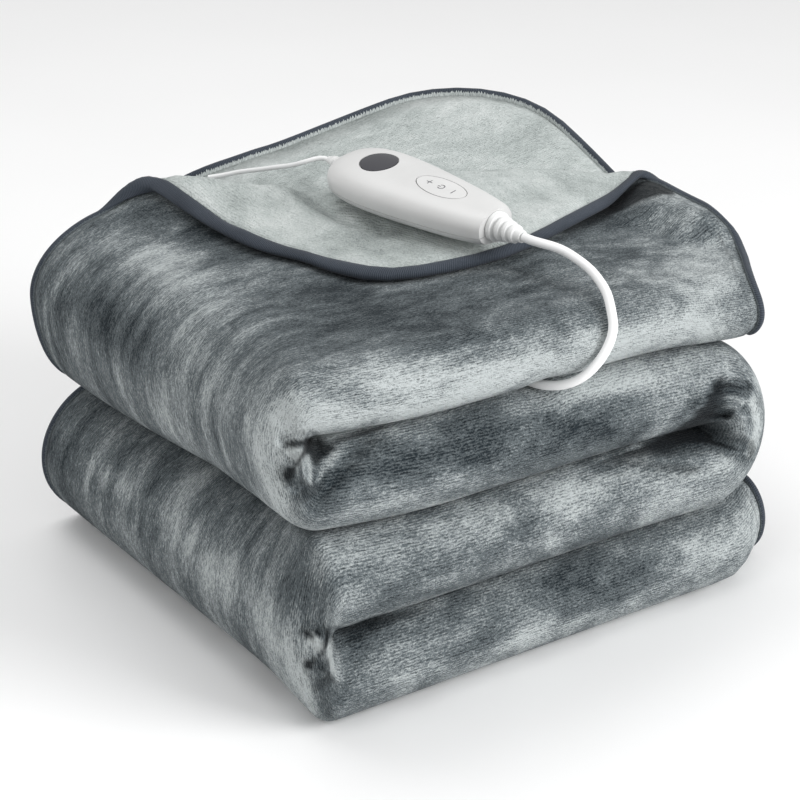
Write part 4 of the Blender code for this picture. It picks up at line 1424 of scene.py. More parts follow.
def painted_hollow_shade(points: Points, strokes: tuple[Stroke, ...]) -> Points:
    """How dark the painted shade in the hollows is at each point.

    Args:
        points: Points of the smooth stack.
        strokes: The strokes of painted shade.

    Returns:
        The darkness, from 0 to 1.
    """
    bright = np.ones(len(points))
    for stroke in strokes:
        bright = bright * (1.0 - stroke.at(points))
    return 1.0 - bright


def creased(points: Points) -> Points:
    """Points moved by all of the cloth's creases.

    Args:
        points: Points of the smooth stack.

    Returns:
        Where they lie on the creased stack.
    """
    lift = sum(fold.at(points) for fold in TOP_FOLDS)
    return points + pushed(points)[:, None] * SLANT.axes()[2] + lift[:, None] * np.array([0.0, 0.0, 1.0])


# How light the pile is painted, from 0 to 1: on each side, and how much lighter on the creases' crests and
# darker in their troughs, as painted highlight and painted shade.
OUTSIDE_NAP = 0.50
REVERSE_NAP = 0.55
CREST_LIGHT_AND_TROUGH_SHADE = 0.16
# Patches of the outside: nap patches among painted sheen, painted highlights and painted shade, such as
# under the flap's binding.
OUTSIDE_SHADES = (
    Shade((93, 228, 211), (52, 13), -12.0, -0.30),
    Shade((44, 248, 205), (46, 12), -24.0, 0.24),
    Shade((3, 212, 178), (46, 18), -34.0, -0.24),
    Shade((33, 178, 205), (40, 12), -28.0, 0.16),
    Shade((86, 94, 213), (46, 16), -4.0, -0.30),
    Shade((2, 288, 172), (10, 24), 0.0, -0.10),
    Shade((1, 137, 155), (50, 24), -35.0, 0.06),
    Shade((307, 141, 212), (24, 8), 22.0, -0.38),
    Shade((285, 74, 212), (36, 18), 14.0, -0.16),
    Shade((279, 13, 207), (30, 28), 30.0, 0.30),
    Shade((345, 122, 208), (22, 10), -20.0, 0.26),
    Shade((72, 0, 198), (60, 14), 13.0, 0.42),
    Shade((195, 0, 197), (60, 12), 12.0, 0.36),
    Shade((3, 1, 204), (20, 14), 0.0, 0.34),
    Shade((126, 39, 215), (44, 14), 6.0, -0.14),
    Shade((176, 69, 215), (40, 8), 10.0, -0.18),
    Shade((81, 4, 158), (70, 18), 13.0, -0.16),
    Shade((196, 9, 165), (50, 6), 12.0, 0.26),
    Shade((270, 7, 161), (30, 10), 10.0, 0.22),
    Shade((321, 1, 131), (6, 26), 0.0, 0.22),
    Shade((180, 3, 142), (60, 12), 14.0, -0.18),
    Shade((27, 0, 148), (30, 12), 20.0, 0.05),
    Shade((100, 10, 107), (70, 12), 13.0, 0.12),
    Shade((218, 4, 101), (50, 12), 12.0, 0.16),
    Shade((60, 2, 37), (60, 16), 13.0, -0.06),
    Shade((205, 4, 42), (70, 16), 13.0, -0.12),
    Shade((311, 3, 38), (24, 16), 0.0, 0.08),
    Shade((3, 306, 62), (20, 12), -20.0, -0.16),
    Shade((5, 239, 68), (24, 8), -30.0, 0.20),
    Shade((1, 182, 59), (36, 10), -34.0, -0.10),
    Shade((2, 111, 69), (40, 10), -34.0, 0.14),
    Shade((2, 100, 36), (60, 10), -34.0, -0.14),
    Shade((6, 21, 26), (12, 22), 0.0, 0.24),
    Shade((-12, 16, 170), (10, 30), 0.0, 0.20),
    Shade((290, 10, 118), (26, 20), 0.0, -0.16),
    Shade((150, 0, 190), (130, 18), 12.0, 0.10),
    Shade((-6, 10, 162), (14, 36), 0.0, 0.13),
    Shade((10, 4, 172), (20, 18), 0.0, 0.10),
    Shade((12, 6, 52), (18, 22), 0.0, 0.12),
    Shade((180, 2, 112), (130, 16), 13.0, 0.10),
    Shade((275, 0, 84), (50, 14), 14.0, 0.26),
    Shade((300, 2, 36), (50, 26), 10.0, 0.26),
    Shade((140, 0, 20), (110, 14), 13.0, 0.14),
    Shade((0, 90, 45), (60, 30), -34.0, 0.22),
    Shade((10, 120, 185), (60, 30), -34.0, 0.10),
    Shade((310, 60, 212), (36, 20), 14.0, 0.14),
)
# Patches of the reverse: painted light and painted shade among its nap patches.
REVERSE_SHADES = (
    Shade((150, 135, 221), (60, 8), -6.0, -0.14),
    Shade((115, 189, 219), (24, 12), -40.0, 0.12),
    Shade((143, 221, 226), (12, 18), 30.0, -0.16),
    Shade((91, 266, 226), (24, 8), -30.0, 0.16),
    Shade((238, 133, 226), (40, 8), 20.0, 0.12),
    Shade((288, 157, 226), (30, 8), 14.0, -0.12),
    Shade((192, 312, 227), (40, 10), 12.0, -0.10),
    Shade((298, 291, 241), (40, 12), -10.0, 0.14),
    Shade((319, 240, 230), (30, 20), -30.0, -0.08),
)


class Side(Enum):
    """The sheet's two sides, and the way each lies from the sheet's middle."""

    OUTSIDE = 1.0
    REVERSE = -1.0


@dataclass
class BlanketCloth:
    """The blanket's one sheet of plush, dark outside and light on the reverse."""

    layout: SheetLayout = field(default_factory=SheetLayout)
    name: str = "plush_sheet"
    flat_size: Pair = (1.30, 1.40)

    def skins(self) -> tuple[dict[Side, Points], Points]:
        """Both sides of the sheet as arrays of points, and every node's place on the flat sheet.

        Returns:
            The points of each side, and the flat places, all by station and node.
        """
        stack = self.layout.stack
        lines = self.layout.stations()
        skins: dict[Side, list[Points]] = {side: [] for side in Side}
        flat = self.flat_places(lines)
        inward = smooth(self.edge_distance(flat.reshape(-1, 2)), 0.0, stack.edge_taper)
        halves = stack.cloth / 2 * (stack.edge_thin + (1.0 - stack.edge_thin) * inward)
        for along, half in zip(lines, halves.reshape(flat.shape[:2])):
            rows, first = self.layout.profile(float(along))
            count = len(rows)
            layer = np.arange(count) < first
            on_top = layer & (along < stack.end_band + stack.turn_length)
            for side in Side:
                lift = side.value * half
                across = np.where(layer, rows[:, 0], rows[:, 0] + rows[:, 2] * lift)
                height = np.where(on_top, rows[:, 1], rows[:, 1] + rows[:, 3] * lift)
                skins[side].append(stack.place(np.full(count, float(along)), across, height, lift, on_top))
        return {side: np.array(skins[side]) for side in Side}, flat

    def flat_places(self, lines: Points) -> Points:
        """Every node's place on the flat sheet.

        Args:
            lines: The stations along the strip.

        Returns:
            The places, by station and node.
        """
        flat = []
        for along in lines:
            rows, _ = self.layout.profile(float(along))
            steps = np.linalg.norm(np.diff(rows[:, :2], axis=0), axis=1)
            path = self.layout.stack.width - float(rows[0, 0]) + np.concatenate([[0.0], np.cumsum(steps)])
            flat.append(np.stack([np.full(len(rows), float(along)), path], axis=1))
        return np.array(flat)

    def build(self) -> Piece:
        """Build the sheet, round its folds.

        Returns:
            The sheet.
        """
        skins, flat = self.skins()
        rows, columns, _ = flat.shape
        outside, reverse = (skins[side].reshape(-1, 3) for side in Side)
        shift = creased(outside) - outside
        points = np.concatenate([outside + shift, reverse + shift])
        under = rows * columns
        grid = np.arange(under).reshape(rows, columns)
        a, b = grid[:-1, :-1].ravel(), grid[:-1, 1:].ravel()
        c, d = grid[1:, 1:].ravel(), grid[1:, :-1].ravel()
        faces = [tuple(face) for face in np.stack([a, d, c, b], axis=1).tolist()]
        faces += [tuple(face) for face in (np.stack([a, b, c, d], axis=1) + under).tolist()]
        rim = [*grid[0], *grid[1:, -1], *grid[-1, -2::-1], *grid[-2:0:-1, 0]]
        for here, there in zip(rim, rim[1:] + rim[:1]):
            faces.append((int(here), int(there), int(under + there), int(under + here)))
        piece = make_piece(self.name, points, faces, Finish.OUTSIDE)
        dress(piece, Finish.OUTSIDE, Finish.REVERSE)
        count = len(a)
        slots = np.ones(len(faces), dtype=np.int32)
        slots[:count] = 0
        piece.data.polygons.foreach_set("material_index", slots)
        self.mark(piece, flat.reshape(-1, 2), outside, reverse)
        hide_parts("blanket_cloth")
        return piece

    def mark(self, piece: Piece, flat: Points, outside: Points, reverse: Points) -> None:
        """Write the flat places, the nap with its painted sheen and shade, the painted shade in the hollows
        and the hem on the mesh for its finish.

        Args:
            piece: The sheet.
            flat: Every node's place on the flat sheet.
            outside: The points of its outside, before they are creased.
            reverse: Those of its reverse.
        """
        lay_flat(piece, np.concatenate([flat, flat]))
        # Painted highlight on the creases' crests and painted shade in their troughs.
        crest_light_and_trough_shade = CREST_LIGHT_AND_TROUGH_SHADE * np.clip(pushed(outside) / DEEPEST, -1.0, 1.0)
        nap_sheen_and_shade = OUTSIDE_NAP + crest_light_and_trough_shade + sum(shade.at(outside) for shade in OUTSIDE_SHADES + PAINTED_CREST_HIGHLIGHTS)
        # The reverse's nap with its painted light and shade.
        under = REVERSE_NAP + sum(shade.at(reverse) for shade in REVERSE_SHADES)
        # Painted shade in the hollows, on each side of the sheet.
        painted_shade = [painted_hollow_shade(outside, PAINTED_HOLLOW_SHADE), painted_hollow_shade(reverse, REVERSE_PAINTED_SHADE)]
        edge = self.edge_distance(flat)
        marks = {NAP_SHEEN_AND_SHADE: np.concatenate([nap_sheen_and_shade, under]), PAINTED_SHADE: np.concatenate(painted_shade), HEM: np.tile(edge, 2)}
        for name, values in marks.items():
            mark = piece.data.attributes.new(name, "FLOAT", "POINT")
            mark.data.foreach_set("value", values.astype(np.float32))

    def edge_distance(self, flat: Points) -> Points:
        """How far each place of the flat sheet lies from the bound edge.

        Args:
            flat: Places on the flat sheet.

        Returns:
            Their distances, right only near the edge.
        """
        stack = self.layout.stack
        width = float(flat[:, 1].max())
        end = np.minimum(flat[:, 0], stack.length - flat[:, 0])
        side = np.minimum(flat[:, 1], width - flat[:, 1]) - stack.binding_reach
        radius = stack.corner_radius
        corner = radius - np.hypot(radius - end, radius - side)
        return np.where((end < radius) & (side < radius), corner, np.minimum(end, side))


@dataclass
class EdgeBinding:
    """The ribbed tape sewn round the sheet's whole edge, as one round band."""

    layout: SheetLayout
    name: str = "edge_binding"
    half: float = 0.0050
    # How far out from the cloth's edge, and the share of half the band's thickness there.
    section: tuple[Pair, ...] = (
        (0.0000, 0.36),
        (0.0002, 0.62),
        (0.0009, 0.88),
        (0.0022, 1.00),
        (0.0036, 0.97),
        (0.0050, 0.80),
        (0.0061, 0.54),
        (0.0067, 0.27),
        (0.0069, 0.00),
    )

    def free_edge(self, along: float, column: int) -> EdgeFrame:
        """A place on one of the strip's two free edges, which run into the sheet's round corners.

        Args:
            along: The place along the strip.
            column: 0 for layer one's edge, and -1 for the other.

        Returns:
            What frames gives for it.
        """
        stack = self.layout.stack
        radius = stack.corner_radius
        row = self.layout.profile(along)[0][column]
        from_end = min(along, stack.length - along)
        if from_end >= radius:
            return along, row, column == 0, 0.0, 1.0
        ahead = (from_end - radius) / radius
        side = -1.0 if along < stack.length / 2 else 1.0
        return along, row, column == 0, -side * ahead, (row[0] - (stack.free_edge - radius)) / radius

    def frames(self) -> list[EdgeFrame]:
        """The bound edge, once round the flat sheet.

        Returns:
            For each place: along, the profile's row, whether it is layer one's, and the way out of the
            sheet along the strip and across it.
        """
        lines = self.layout.stations()
        frames = [self.free_edge(float(along), 0) for along in lines[::-1]]
        rows, first = self.layout.profile(0.0)
        for column in range(1, len(rows) - 1):
            frames.append((0.0, rows[column], column < first, -1.0, 0.0))
        frames += [self.free_edge(float(along), -1) for along in lines]
        last = float(lines[-1])
        rows, first = self.layout.profile(last)
        for column in range(len(rows) - 2, 0, -1):
            frames.append((last, rows[column], column < first, 1.0, 0.0))
        return frames

    def build(self) -> Piece:
        """Build the band round the sheet's edge.

        Returns:
            The band.
        """
        stack = self.layout.stack
        frames = self.frames()
        section = [(out, -share * self.half) for out, share in self.section]
        section += [(out, share * self.half) for out, share in reversed(self.section[:-1])]
        outs, lifts = (np.array(column) for column in zip(*section))
        points = []
        for along, row, first_layer, out_along, out_across in frames:
            on_top = bool(first_layer and along < stack.end_band + stack.turn_length)
            side = np.zeros_like(lifts) if on_top else lifts
            here = along + outs * out_along
            across = row[0] + outs * out_across + row[2] * side
            height = row[1] + row[3] * side
            points.append(stack.place(here, across, height, lifts, np.full(len(outs), on_top)))
        rings = np.array(points)
        rings = creased(rings.reshape(-1, 3)).reshape(rings.shape)
        sides = len(section)
        faces = ring_faces(len(frames), sides, closed=True)
        piece = make_piece(self.name, rings.reshape(-1, 3), faces, Finish.BINDING)
        middles = rings.mean(axis=1)
        steps = np.linalg.norm(np.diff(middles, axis=0), axis=1)
        walked = np.concatenate([[0.0], np.cumsum(steps)])
        bends = np.hypot(np.diff(outs), np.diff(lifts))
        round_way = np.concatenate([[0.0], np.cumsum(bends)])
        round_way = round_way - round_way[len(self.section) - 1]
        lay_flat(piece, np.stack([np.repeat(walked, sides), np.tile(round_way, len(frames))], axis=1))
        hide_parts("blanket_binding")
        return piece


# ---- The hand controller ----


def oval(halves: Pair, steps: int) -> list[Pair]:
    """Points once round an oval.

    Args:
        halves: Half its length and half its width.
        steps: How many points.

    Returns:
        The points, from the middle.
    """
    turns = [2 * math.pi * step / steps for step in range(steps)]
    return [(halves[0] * math.cos(turn), halves[1] * math.sin(turn)) for turn in turns]


@dataclass
class HandController:
    """The hand controller: two shells, its display window, its button pad and its strain reliefs."""

    place: Place = (0.1708, 0.2278, 0.2445)
    turn: Triple = (9.0, 2.5, -80.0)
    split: float = -0.0030
    power: float = 2.5
    gap: float = 0.0003
    groove: float = 0.0006
    sides: int = 40
    stations: int = 72
    crowding: float = 1.6
    rim_share: float = 0.999
    seat_steps: int = 64
    floor_steps: int = 24
    cutter_top: float = 0.03
    # The place along it, half its width and half its height.
    outline: tuple[Triple, ...] = (
        (0.0000, 0.0066, 0.0050),
        (0.0020, 0.0124, 0.0070),
        (0.0058, 0.0178, 0.0092),
        (0.0132, 0.0230, 0.0113),
        (0.0250, 0.0260, 0.0126),
        (0.0400, 0.0270, 0.0130),
        (0.0570, 0.0264, 0.0129),
        (0.0760, 0.0247, 0.0125),
        (0.0950, 0.0224, 0.0120),
        (0.1120, 0.0199, 0.0114),
        (0.1240, 0.0173, 0.0108),
        (0.1300, 0.0152, 0.0102),
        (0.1320, 0.0139, 0.0099),
    )
    window_at: float = 0.0350
    window_radius: float = 0.0118
    pad_at: float = 0.0885
    pad_half: Pair = (0.0190, 0.0090)
    inset: float = 0.0012
    window_rings: tuple[float, ...] = (1.0, 0.97, 0.8, 0.55, 0.3)
    pad_rings: tuple[float, ...] = (1.0, 0.96, 0.9, 0.7, 0.4)
    mark_half: float = 0.00030
    mark_rise: float = 0.00008
    mark_arm: float = 0.0022
    mark_off: float = 0.0098
    power_radius: float = 0.0021
    power_sweep: float = 140.0
    power_nodes: int = 25
    power_bar: Pair = (-1.3, -0.3)
    # The place along each strain relief, and its radius.
    mains_boot: tuple[Pair, ...] = (
        (0.0000, 0.0094), (0.0028, 0.0092), (0.0034, 0.0062), (0.0052, 0.0061),
        (0.0058, 0.0078), (0.0078, 0.0075), (0.0084, 0.0054), (0.0100, 0.0053),
        (0.0106, 0.0068), (0.0124, 0.0065), (0.0130, 0.0048), (0.0144, 0.0047),
        (0.0150, 0.0058), (0.0168, 0.0055), (0.0174, 0.0044), (0.0215, 0.0038),
    )
    lead_boot: tuple[Pair, ...] = (
        (0.0000, 0.0046), (0.0024, 0.0044), (0.0030, 0.0034), (0.0046, 0.0033),
        (0.0052, 0.0039), (0.0072, 0.0037), (0.0078, 0.0030), (0.0115, 0.0024),
    )

    def matrix(self) -> Matrix:
        """The controller's frame on the stack: +X runs from the lead's end to the mains end."""
        turn = Euler([math.radians(angle) for angle in self.turn]).to_matrix().to_4x4()
        return Matrix.Translation(self.place) @ turn

    def size(self, along: float) -> Pair:
        """The controller's section at a place along it.

        Args:
            along: The place, from the lead's end.

        Returns:
            Half its width and half its height.
        """
        places, widths, heights = (np.array(column) for column in zip(*self.outline))
        knots = np.sqrt(places / places[-1])
        knot = math.sqrt(min(max(along / places[-1], 0.0), 1.0))
        return float(spline_at(knots, widths, knot)), float(spline_at(knots, heights, knot))

    def top(self, along: float, across: float) -> float:
        """The height of the top shell over a place of the plan.

        Args:
            along: The place along the controller.
            across: The place across it.

        Returns:
            The height.
        """
        width, height = self.size(along)
        share = min(abs(across) / width, self.rim_share)
        return height * (1.0 - share ** self.power) ** (1.0 / self.power)

    def shell(self, name: str, side: int) -> Piece:
        """One of the two shells.

        Args:
            name: The shell's name.
            side: 1 for the upper shell and -1 for the lower one.

        Returns:
            The shell.
        """
        level = self.split + side * self.gap / 2
        length = self.outline[-1][0]
        points = []
        for step in range(self.stations + 1):
            along = length * (step / self.stations) ** self.crowding
            width, height = self.size(along)
            start = math.asin(math.copysign((abs(level) / height) ** (self.power / 2), level))
            end = math.pi - start if side > 0 else -math.pi - start
            for angle in np.linspace(start, end, self.sides + 1):
                c, s = math.cos(angle), math.sin(angle)
                across = width * math.copysign(abs(c) ** (2 / self.power), c)
                points.append((along, across, height * math.copysign(abs(s) ** (2 / self.power), s)))
        rings, size = self.stations + 1, self.sides + 1
        faces = ring_faces(rings, size) + end_faces(rings, size)
        if side < 0:
            faces = [face[::-1] for face in faces]
        piece = make_piece(name, np.array(points), faces, Finish.SHELL, self.matrix())
        piece.data.set_sharp_from_angle(angle=SHELL_SHARP)
        return piece

    def floor(self, at: float, halves: Pair) -> float:
        """The level of a seat's floor under the lowest edge of what sits in it."""
        return min(self.top(at + x, y) for x, y in oval(halves, self.floor_steps)) - self.inset

    def cut_seat(self, shell: Piece, at: float, halves: Pair) -> None:
        """Sink an oval seat into the upper shell.

        Args:
            shell: The upper shell.
            at: The seat's middle along the controller.
            halves: Half its length and half its width.
        """
        steps = self.seat_steps
        ring = oval((halves[0] + self.groove, halves[1] + self.groove), steps)
        levels = (self.floor(at, halves), self.cutter_top)
        points = [(at + x, y, level) for level in levels for x, y in ring]
        faces = ring_faces(2, steps) + end_faces(2, steps)
        cutter = make_piece("seat_cutter", np.array(points), faces, Finish.SHELL, self.matrix())
        cut = shell.modifiers.new("seat", "BOOLEAN")
        cut.operation = "DIFFERENCE"
        cut.solver = "EXACT"
        cut.object = cutter
        settle_modifiers(shell)
        bpy.data.objects.remove(cutter, do_unlink=True)

    def inlay(self, name: str, at: float, halves: Pair, shares: tuple[float, ...],
              finish: Finish) -> Piece:
        """A piece that fills a seat, its top following the shell's.

        Args:
            name: The piece's name.
            at: Its middle along the controller.
            halves: Half its length and half its width.
            shares: Its rings, as shares of its size, the outermost first.
            finish: What it is made of.

        Returns:
            The piece.
        """
        steps = self.seat_steps
        base = self.floor(at, halves) + self.gap
        points = [(at + x, y, base) for x, y in oval(halves, steps)]
        for share in shares:
            for x, y in oval((halves[0] * share, halves[1] * share), steps):
                points.append((at + x, y, self.top(at + x, y)))
        points.append((at, 0.0, self.top(at, 0.0)))
        faces = ring_faces(len(shares) + 1, steps) + [tuple(range(steps))[::-1]]
        middle, last = len(points) - 1, len(shares) * steps
        faces += [(last + step, last + (step + 1) % steps, middle) for step in range(steps)]
        piece = make_piece(name, np.array(points), faces, finish, self.matrix())
        piece.data.set_sharp_from_angle(angle=SHELL_SHARP)
        return piece

    def mark(self, name: str, path: list[Pair]) -> Piece:
        """One printed stroke on the button pad.

        Args:
            name: The stroke's name.
            path: Its line, from the pad's middle.

        Returns:
            The stroke.
        """
        line = np.array(path)
        way = np.gradient(line, axis=0)
        way /= np.linalg.norm(way, axis=1)[:, None]
        beside = np.stack([-way[:, 1], way[:, 0]], axis=1) * self.mark_half
        points = []
        for place, off in zip(line, beside):
            for (x, y), rise in ((place + off, -1), (place + off, 1), (place - off, 1), (place - off, -1)):
                points.append((self.pad_at + x, y, self.top(self.pad_at + x, y) + rise * self.mark_rise))
        faces = ring_faces(len(line), 4) + end_faces(len(line), 4)
        return make_piece(name, np.array(points), faces, Finish.PRINT, self.matrix())

    def marks(self) -> list[Piece]:
        """Print the plus, the power sign and the minus on the button pad.

        Returns:
            Their strokes.
        """
        arm, off, radius = self.mark_arm, self.mark_off, self.power_radius
        turns = np.radians(np.linspace(-self.power_sweep, self.power_sweep, self.power_nodes))
        paths = {
            "mark_plus_long": [(-off - arm, 0.0), (-off, 0.0), (-off + arm, 0.0)],
            "mark_plus_cross": [(-off, -arm), (-off, 0.0), (-off, arm)],
            "mark_minus": [(off, -arm), (off, 0.0), (off, arm)],
            "mark_power_ring": [(radius * math.cos(turn), radius * math.sin(turn)) for turn in turns],
            "mark_power_bar": [(share * radius, 0.0) for share in self.power_bar],
        }
        return [self.mark(name, path) for name, path in paths.items()]

    def turned(self, name: str, outline: tuple[Pair, ...], turn: Matrix) -> Piece:
        """A strain relief, turned round its frame's +X.

        Args:
            name: The piece's name.
            outline: Places along it and the radii there.
            turn: Its frame.

        Returns:
            The strain relief.
        """
        steps = self.sides
        points = [(along, x, y) for along, radius in outline for x, y in oval((radius, radius), steps)]
        faces = ring_faces(len(outline), steps) + end_faces(len(outline), steps)
        piece = make_piece(name, np.array(points), faces, Finish.BOOT, turn)
        piece.data.set_sharp_from_angle(angle=RELIEF_SHARP)
        return piece

    def build(self) -> list[Piece]:
        """Build the whole controller.

        Returns:
            Its pieces.
        """
        window_half = (self.window_radius, self.window_radius)
        upper = self.shell("shell_upper", 1)
        self.cut_seat(upper, self.window_at, window_half)
        self.cut_seat(upper, self.pad_at, self.pad_half)
        upper.data.set_sharp_from_angle(angle=SHELL_SHARP)
        mains_end = self.matrix() @ Matrix.Translation((self.outline[-1][0] + self.gap, 0.0, 0.0))
        lead_end = Matrix.Translation((-self.gap, 0.0, 0.0)) @ Matrix.Rotation(math.pi, 4, "Z")
        pieces = {
            "controller_top": upper,
            "controller_base": self.shell("shell_lower", -1),
            "controller_window": self.inlay("display_glass", self.window_at, window_half,
                                            self.window_rings, Finish.WINDOW),
            "controller_buttons": self.inlay("pad_oval", self.pad_at, self.pad_half,
                                             self.pad_rings, Finish.PAD),
            "mains_boot": self.turned("relief_mains", self.mains_boot, mains_end),
            "lead_boot": self.turned("relief_lead", self.lead_boot, self.matrix() @ lead_end),
        }
        for node, piece in pieces.items():
            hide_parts(node)
        return [*pieces.values(), *self.marks()]


# ---- The cords ----


def spline_bends(places: Points, values: Points) -> Points:
    """The second derivatives of a smooth curve through values at places.

    Args:
        places: Where the values are, in order.
        values: One value, or one row of values, for each place.

    Returns:
        The curve's bends at the places.
    """
    system = np.eye(len(places))
    bends = np.zeros_like(values)
    for row in range(1, len(places) - 1):
        before, after = places[row] - places[row - 1], places[row + 1] - places[row]
        system[row, row - 1:row + 2] = (before, 2 * (before + after), after)
        bends[row] = 6 * ((values[row + 1] - values[row]) / after - (values[row] - values[row - 1]) / before)
    return np.linalg.solve(system, bends)


def spline_between(places: Points, values: Points, bends: Points, row: int, share: float) -> Points:
    """A smooth curve's value between two of its places.

    Args:
        places: Where the values are, in order.
        values: One value, or one row of values, for each place.
        bends: The curve's second derivatives there.
        row: The place before.
        share: How far on towards the next place, from 0 to 1.

    Returns:
        The value.
    """
    span = places[row + 1] - places[row]
    rest = 1.0 - share
    bent = (rest ** 3 - rest) * bends[row] + (share ** 3 - share) * bends[row + 1]
    return rest * values[row] + share * values[row + 1] + bent * span ** 2 / 6


def spline_at(places: Points, values: Points, where: float) -> Points:
    """A smooth curve through values at places, read at one more place.

    Args:
        places: Where the values are, in order.
        values: One value, or one row of values, for each place.
        where: The place to read.

    Returns:
        The curve's value there.
    """
    bends = spline_bends(places, values)
    row = int(np.clip(np.searchsorted(places, where) - 1, 0, len(places) - 2))
    share = (where - places[row]) / (places[row + 1] - places[row])
    return spline_between(places, values, bends, row, share)


# How many points a route's curve is measured at between two of its own.
FINE_STEPS = 20


def smooth_route(route: Points, step: float) -> Points:
    """Evenly spaced points of a smooth curve through a route's own points.

    Args:
        route: The route's points.
        step: The distance between two points.

    Returns:
        The points.
    """
    chord = np.concatenate([[0.0], np.cumsum(np.linalg.norm(np.diff(route, axis=0), axis=1))])
    bends = spline_bends(chord, route)
    fine = []
    for row in range(len(route) - 1):
        for share in np.linspace(0.0, 1.0, FINE_STEPS, endpoint=row == len(route) - 2):
            fine.append(spline_between(chord, route, bends, row, share))
    fine = np.array(fine)
    walked = np.concatenate([[0.0], np.cumsum(np.linalg.norm(np.diff(fine, axis=0), axis=1))])
    places = np.linspace(0.0, walked[-1], max(2, round(walked[-1] / step) + 1))
    return np.stack([np.interp(places, walked, fine[:, axis]) for axis in range(3)], axis=1)


def line_length(points: Points) -> float:
    """The length of a line through points."""
    return float(np.linalg.norm(np.diff(points, axis=0), axis=1).sum())


@dataclass
class RoundCord:
    """A round cord along a line of points."""

    name: str
    diameter: float
    roundness: int = 6

    def build(self, points: Points) -> Piece:
        """Build the cord as one open curve.

        Args:
            points: Its centreline, in the maker's frame.

        Returns:
            The cord.
        """
        curve = bpy.data.curves.new(self.name, "CURVE")
        curve.dimensions = "3D"
        curve.bevel_depth = self.diameter / 2
        curve.bevel_resolution = self.roundness
        curve.use_fill_caps = True
        spline = curve.splines.new("POLY")
        spline.points.add(len(points) - 1)
        for place, point in zip(spline.points, points + STACK):
            place.co = (*point.tolist(), 1.0)
            place.radius = 1.0
        spline.use_smooth = True
        cord = bpy.data.objects.new(self.name, curve)
        bpy.context.scene.collection.objects.link(cord)
        dress(cord, Finish.JACKET)
        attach(cord, "root")
        return cord


@dataclass
class MainsCord:
    """The mains cord: over the fold, between the two top bands, down behind, round its coil, to its plug."""

    diameter: float = 0.0055
    step: float = 0.0040
    coil_radius: float = 0.0330
    coil_turns: float = 5.5
    turn_steps: int = 48
    lay_radius: float = 0.0055
    lay_turn: float = 60.0
    beside: float = 0.0446
    join_turn: float = 75.0
    route: tuple[Place, ...] = (
        (0.1976, 0.0757, 0.2377), (0.1988, 0.0690, 0.2374), (0.2022, 0.0617, 0.2368),
        (0.2072, 0.0535, 0.2352), (0.2110, 0.0431, 0.2318), (0.2130, 0.0330, 0.2280),
        (0.2128, 0.0240, 0.2240), (0.2105, 0.0140, 0.2195), (0.2068, 0.0055, 0.2135),
        (0.2030, -0.0014, 0.2058), (0.1970, -0.0042, 0.1965), (0.1890, -0.0036, 0.1870),
        (0.1810, 0.0010, 0.1790), (0.1735, 0.0095, 0.1742), (0.1675, 0.0200, 0.1728),
        (0.1652, 0.0340, 0.1726), (0.1650, 0.0800, 0.1723), (0.1650, 0.1600, 0.1720),
        (0.1650, 0.2400, 0.1720), (0.1650, 0.2800, 0.1722), (0.1650, 0.3100, 0.1726),
        (0.1650, 0.3270, 0.1728), (0.1652, 0.3464, 0.1674), (0.1656, 0.3594, 0.1500),
        (0.1662, 0.3620, 0.1100), (0.1672, 0.3620, 0.0700), (0.1688, 0.3660, 0.0400),
        (0.1706, 0.3775, 0.0200), (0.1718, 0.3930, 0.0120), (0.1722, 0.4100, 0.0108),
    )
    tail: tuple[Place, ...] = (
        (0.2614, 0.4100, 0.0108), (0.2616, 0.3980, 0.0088), (0.2646, 0.3850, 0.0050),
        (0.2726, 0.3740, 0.0040), (0.2826, 0.3689, 0.0072), (0.2912, 0.3671, 0.0089),
        (0.2975, 0.3660, 0.0090),
    )

    def coil(self) -> Points:
        """The turns of the coil, each a diameter from its neighbours.

        Returns:
            Their centreline.
        """
        steps = round(self.turn_steps * self.coil_turns)
        turns = np.linspace(0.0, 2 * math.pi * self.coil_turns, steps + 1)[1:-1]
        lay = np.radians(self.lay_turn) * turns / (2 * math.pi)
        reach = self.coil_radius + self.lay_radius * np.cos(lay)
        level = self.lay_radius * np.sin(lay)
        join = math.radians(self.join_turn)
        apart = smooth(turns, join, 0.0) + smooth(turns, turns[-1] - join, turns[-1])
        reach = reach + (self.beside - reach) * apart
        level = level * (1.0 - apart)
        heading = math.pi - turns
        x, y, z = COIL_CENTRE
        return np.stack([x + reach * np.cos(heading), y + reach * np.sin(heading), z + level], axis=1)

    def build(self) -> Piece:
        """Returns:
            The cord.
        """
        first = smooth_route(np.array(self.route), self.step)
        last = smooth_route(np.array(self.tail), self.step)
        points = np.concatenate([first, self.coil(), last])
        cord = RoundCord("mains_flex", self.diameter).build(points)
        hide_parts("mains_cord", "mains_cord_tail", "cord_coil")
        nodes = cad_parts
        dress(nodes["cord_tie"], Finish.STRAP)
        dress(nodes["plug_body"], Finish.PLUG)
        for name in ("plug_blade_left", "plug_blade_right"):
            dress(nodes[name], Finish.BLADE)
        length = line_length(points)
        return cord


@dataclass
class HeaterLead:
    """The thin lead from the controller into the cloth's hem."""

    diameter: float = 0.0030
    step: float = 0.0030
    route: tuple[Place, ...] = (
        (0.1686, 0.2403, 0.2449), (0.1674, 0.2442, 0.2450), (0.1600, 0.2500, 0.2430),
        (0.1545, 0.2600, 0.2385), (0.1510, 0.2720, 0.2345), (0.1465, 0.2870, 0.2295),
        (0.1400, 0.3010, 0.2252), (0.1330, 0.3110, 0.2215), (0.1262, 0.3178, 0.2194),
    )

    def build(self) -> Piece:
        """Returns:
            The lead.
        """
        points = smooth_route(np.array(self.route), self.step)
        lead = RoundCord("heater_flex", self.diameter).build(points)
        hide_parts("heater_lead")
        length = line_length(points)
        return lead


# ---- The studio ----


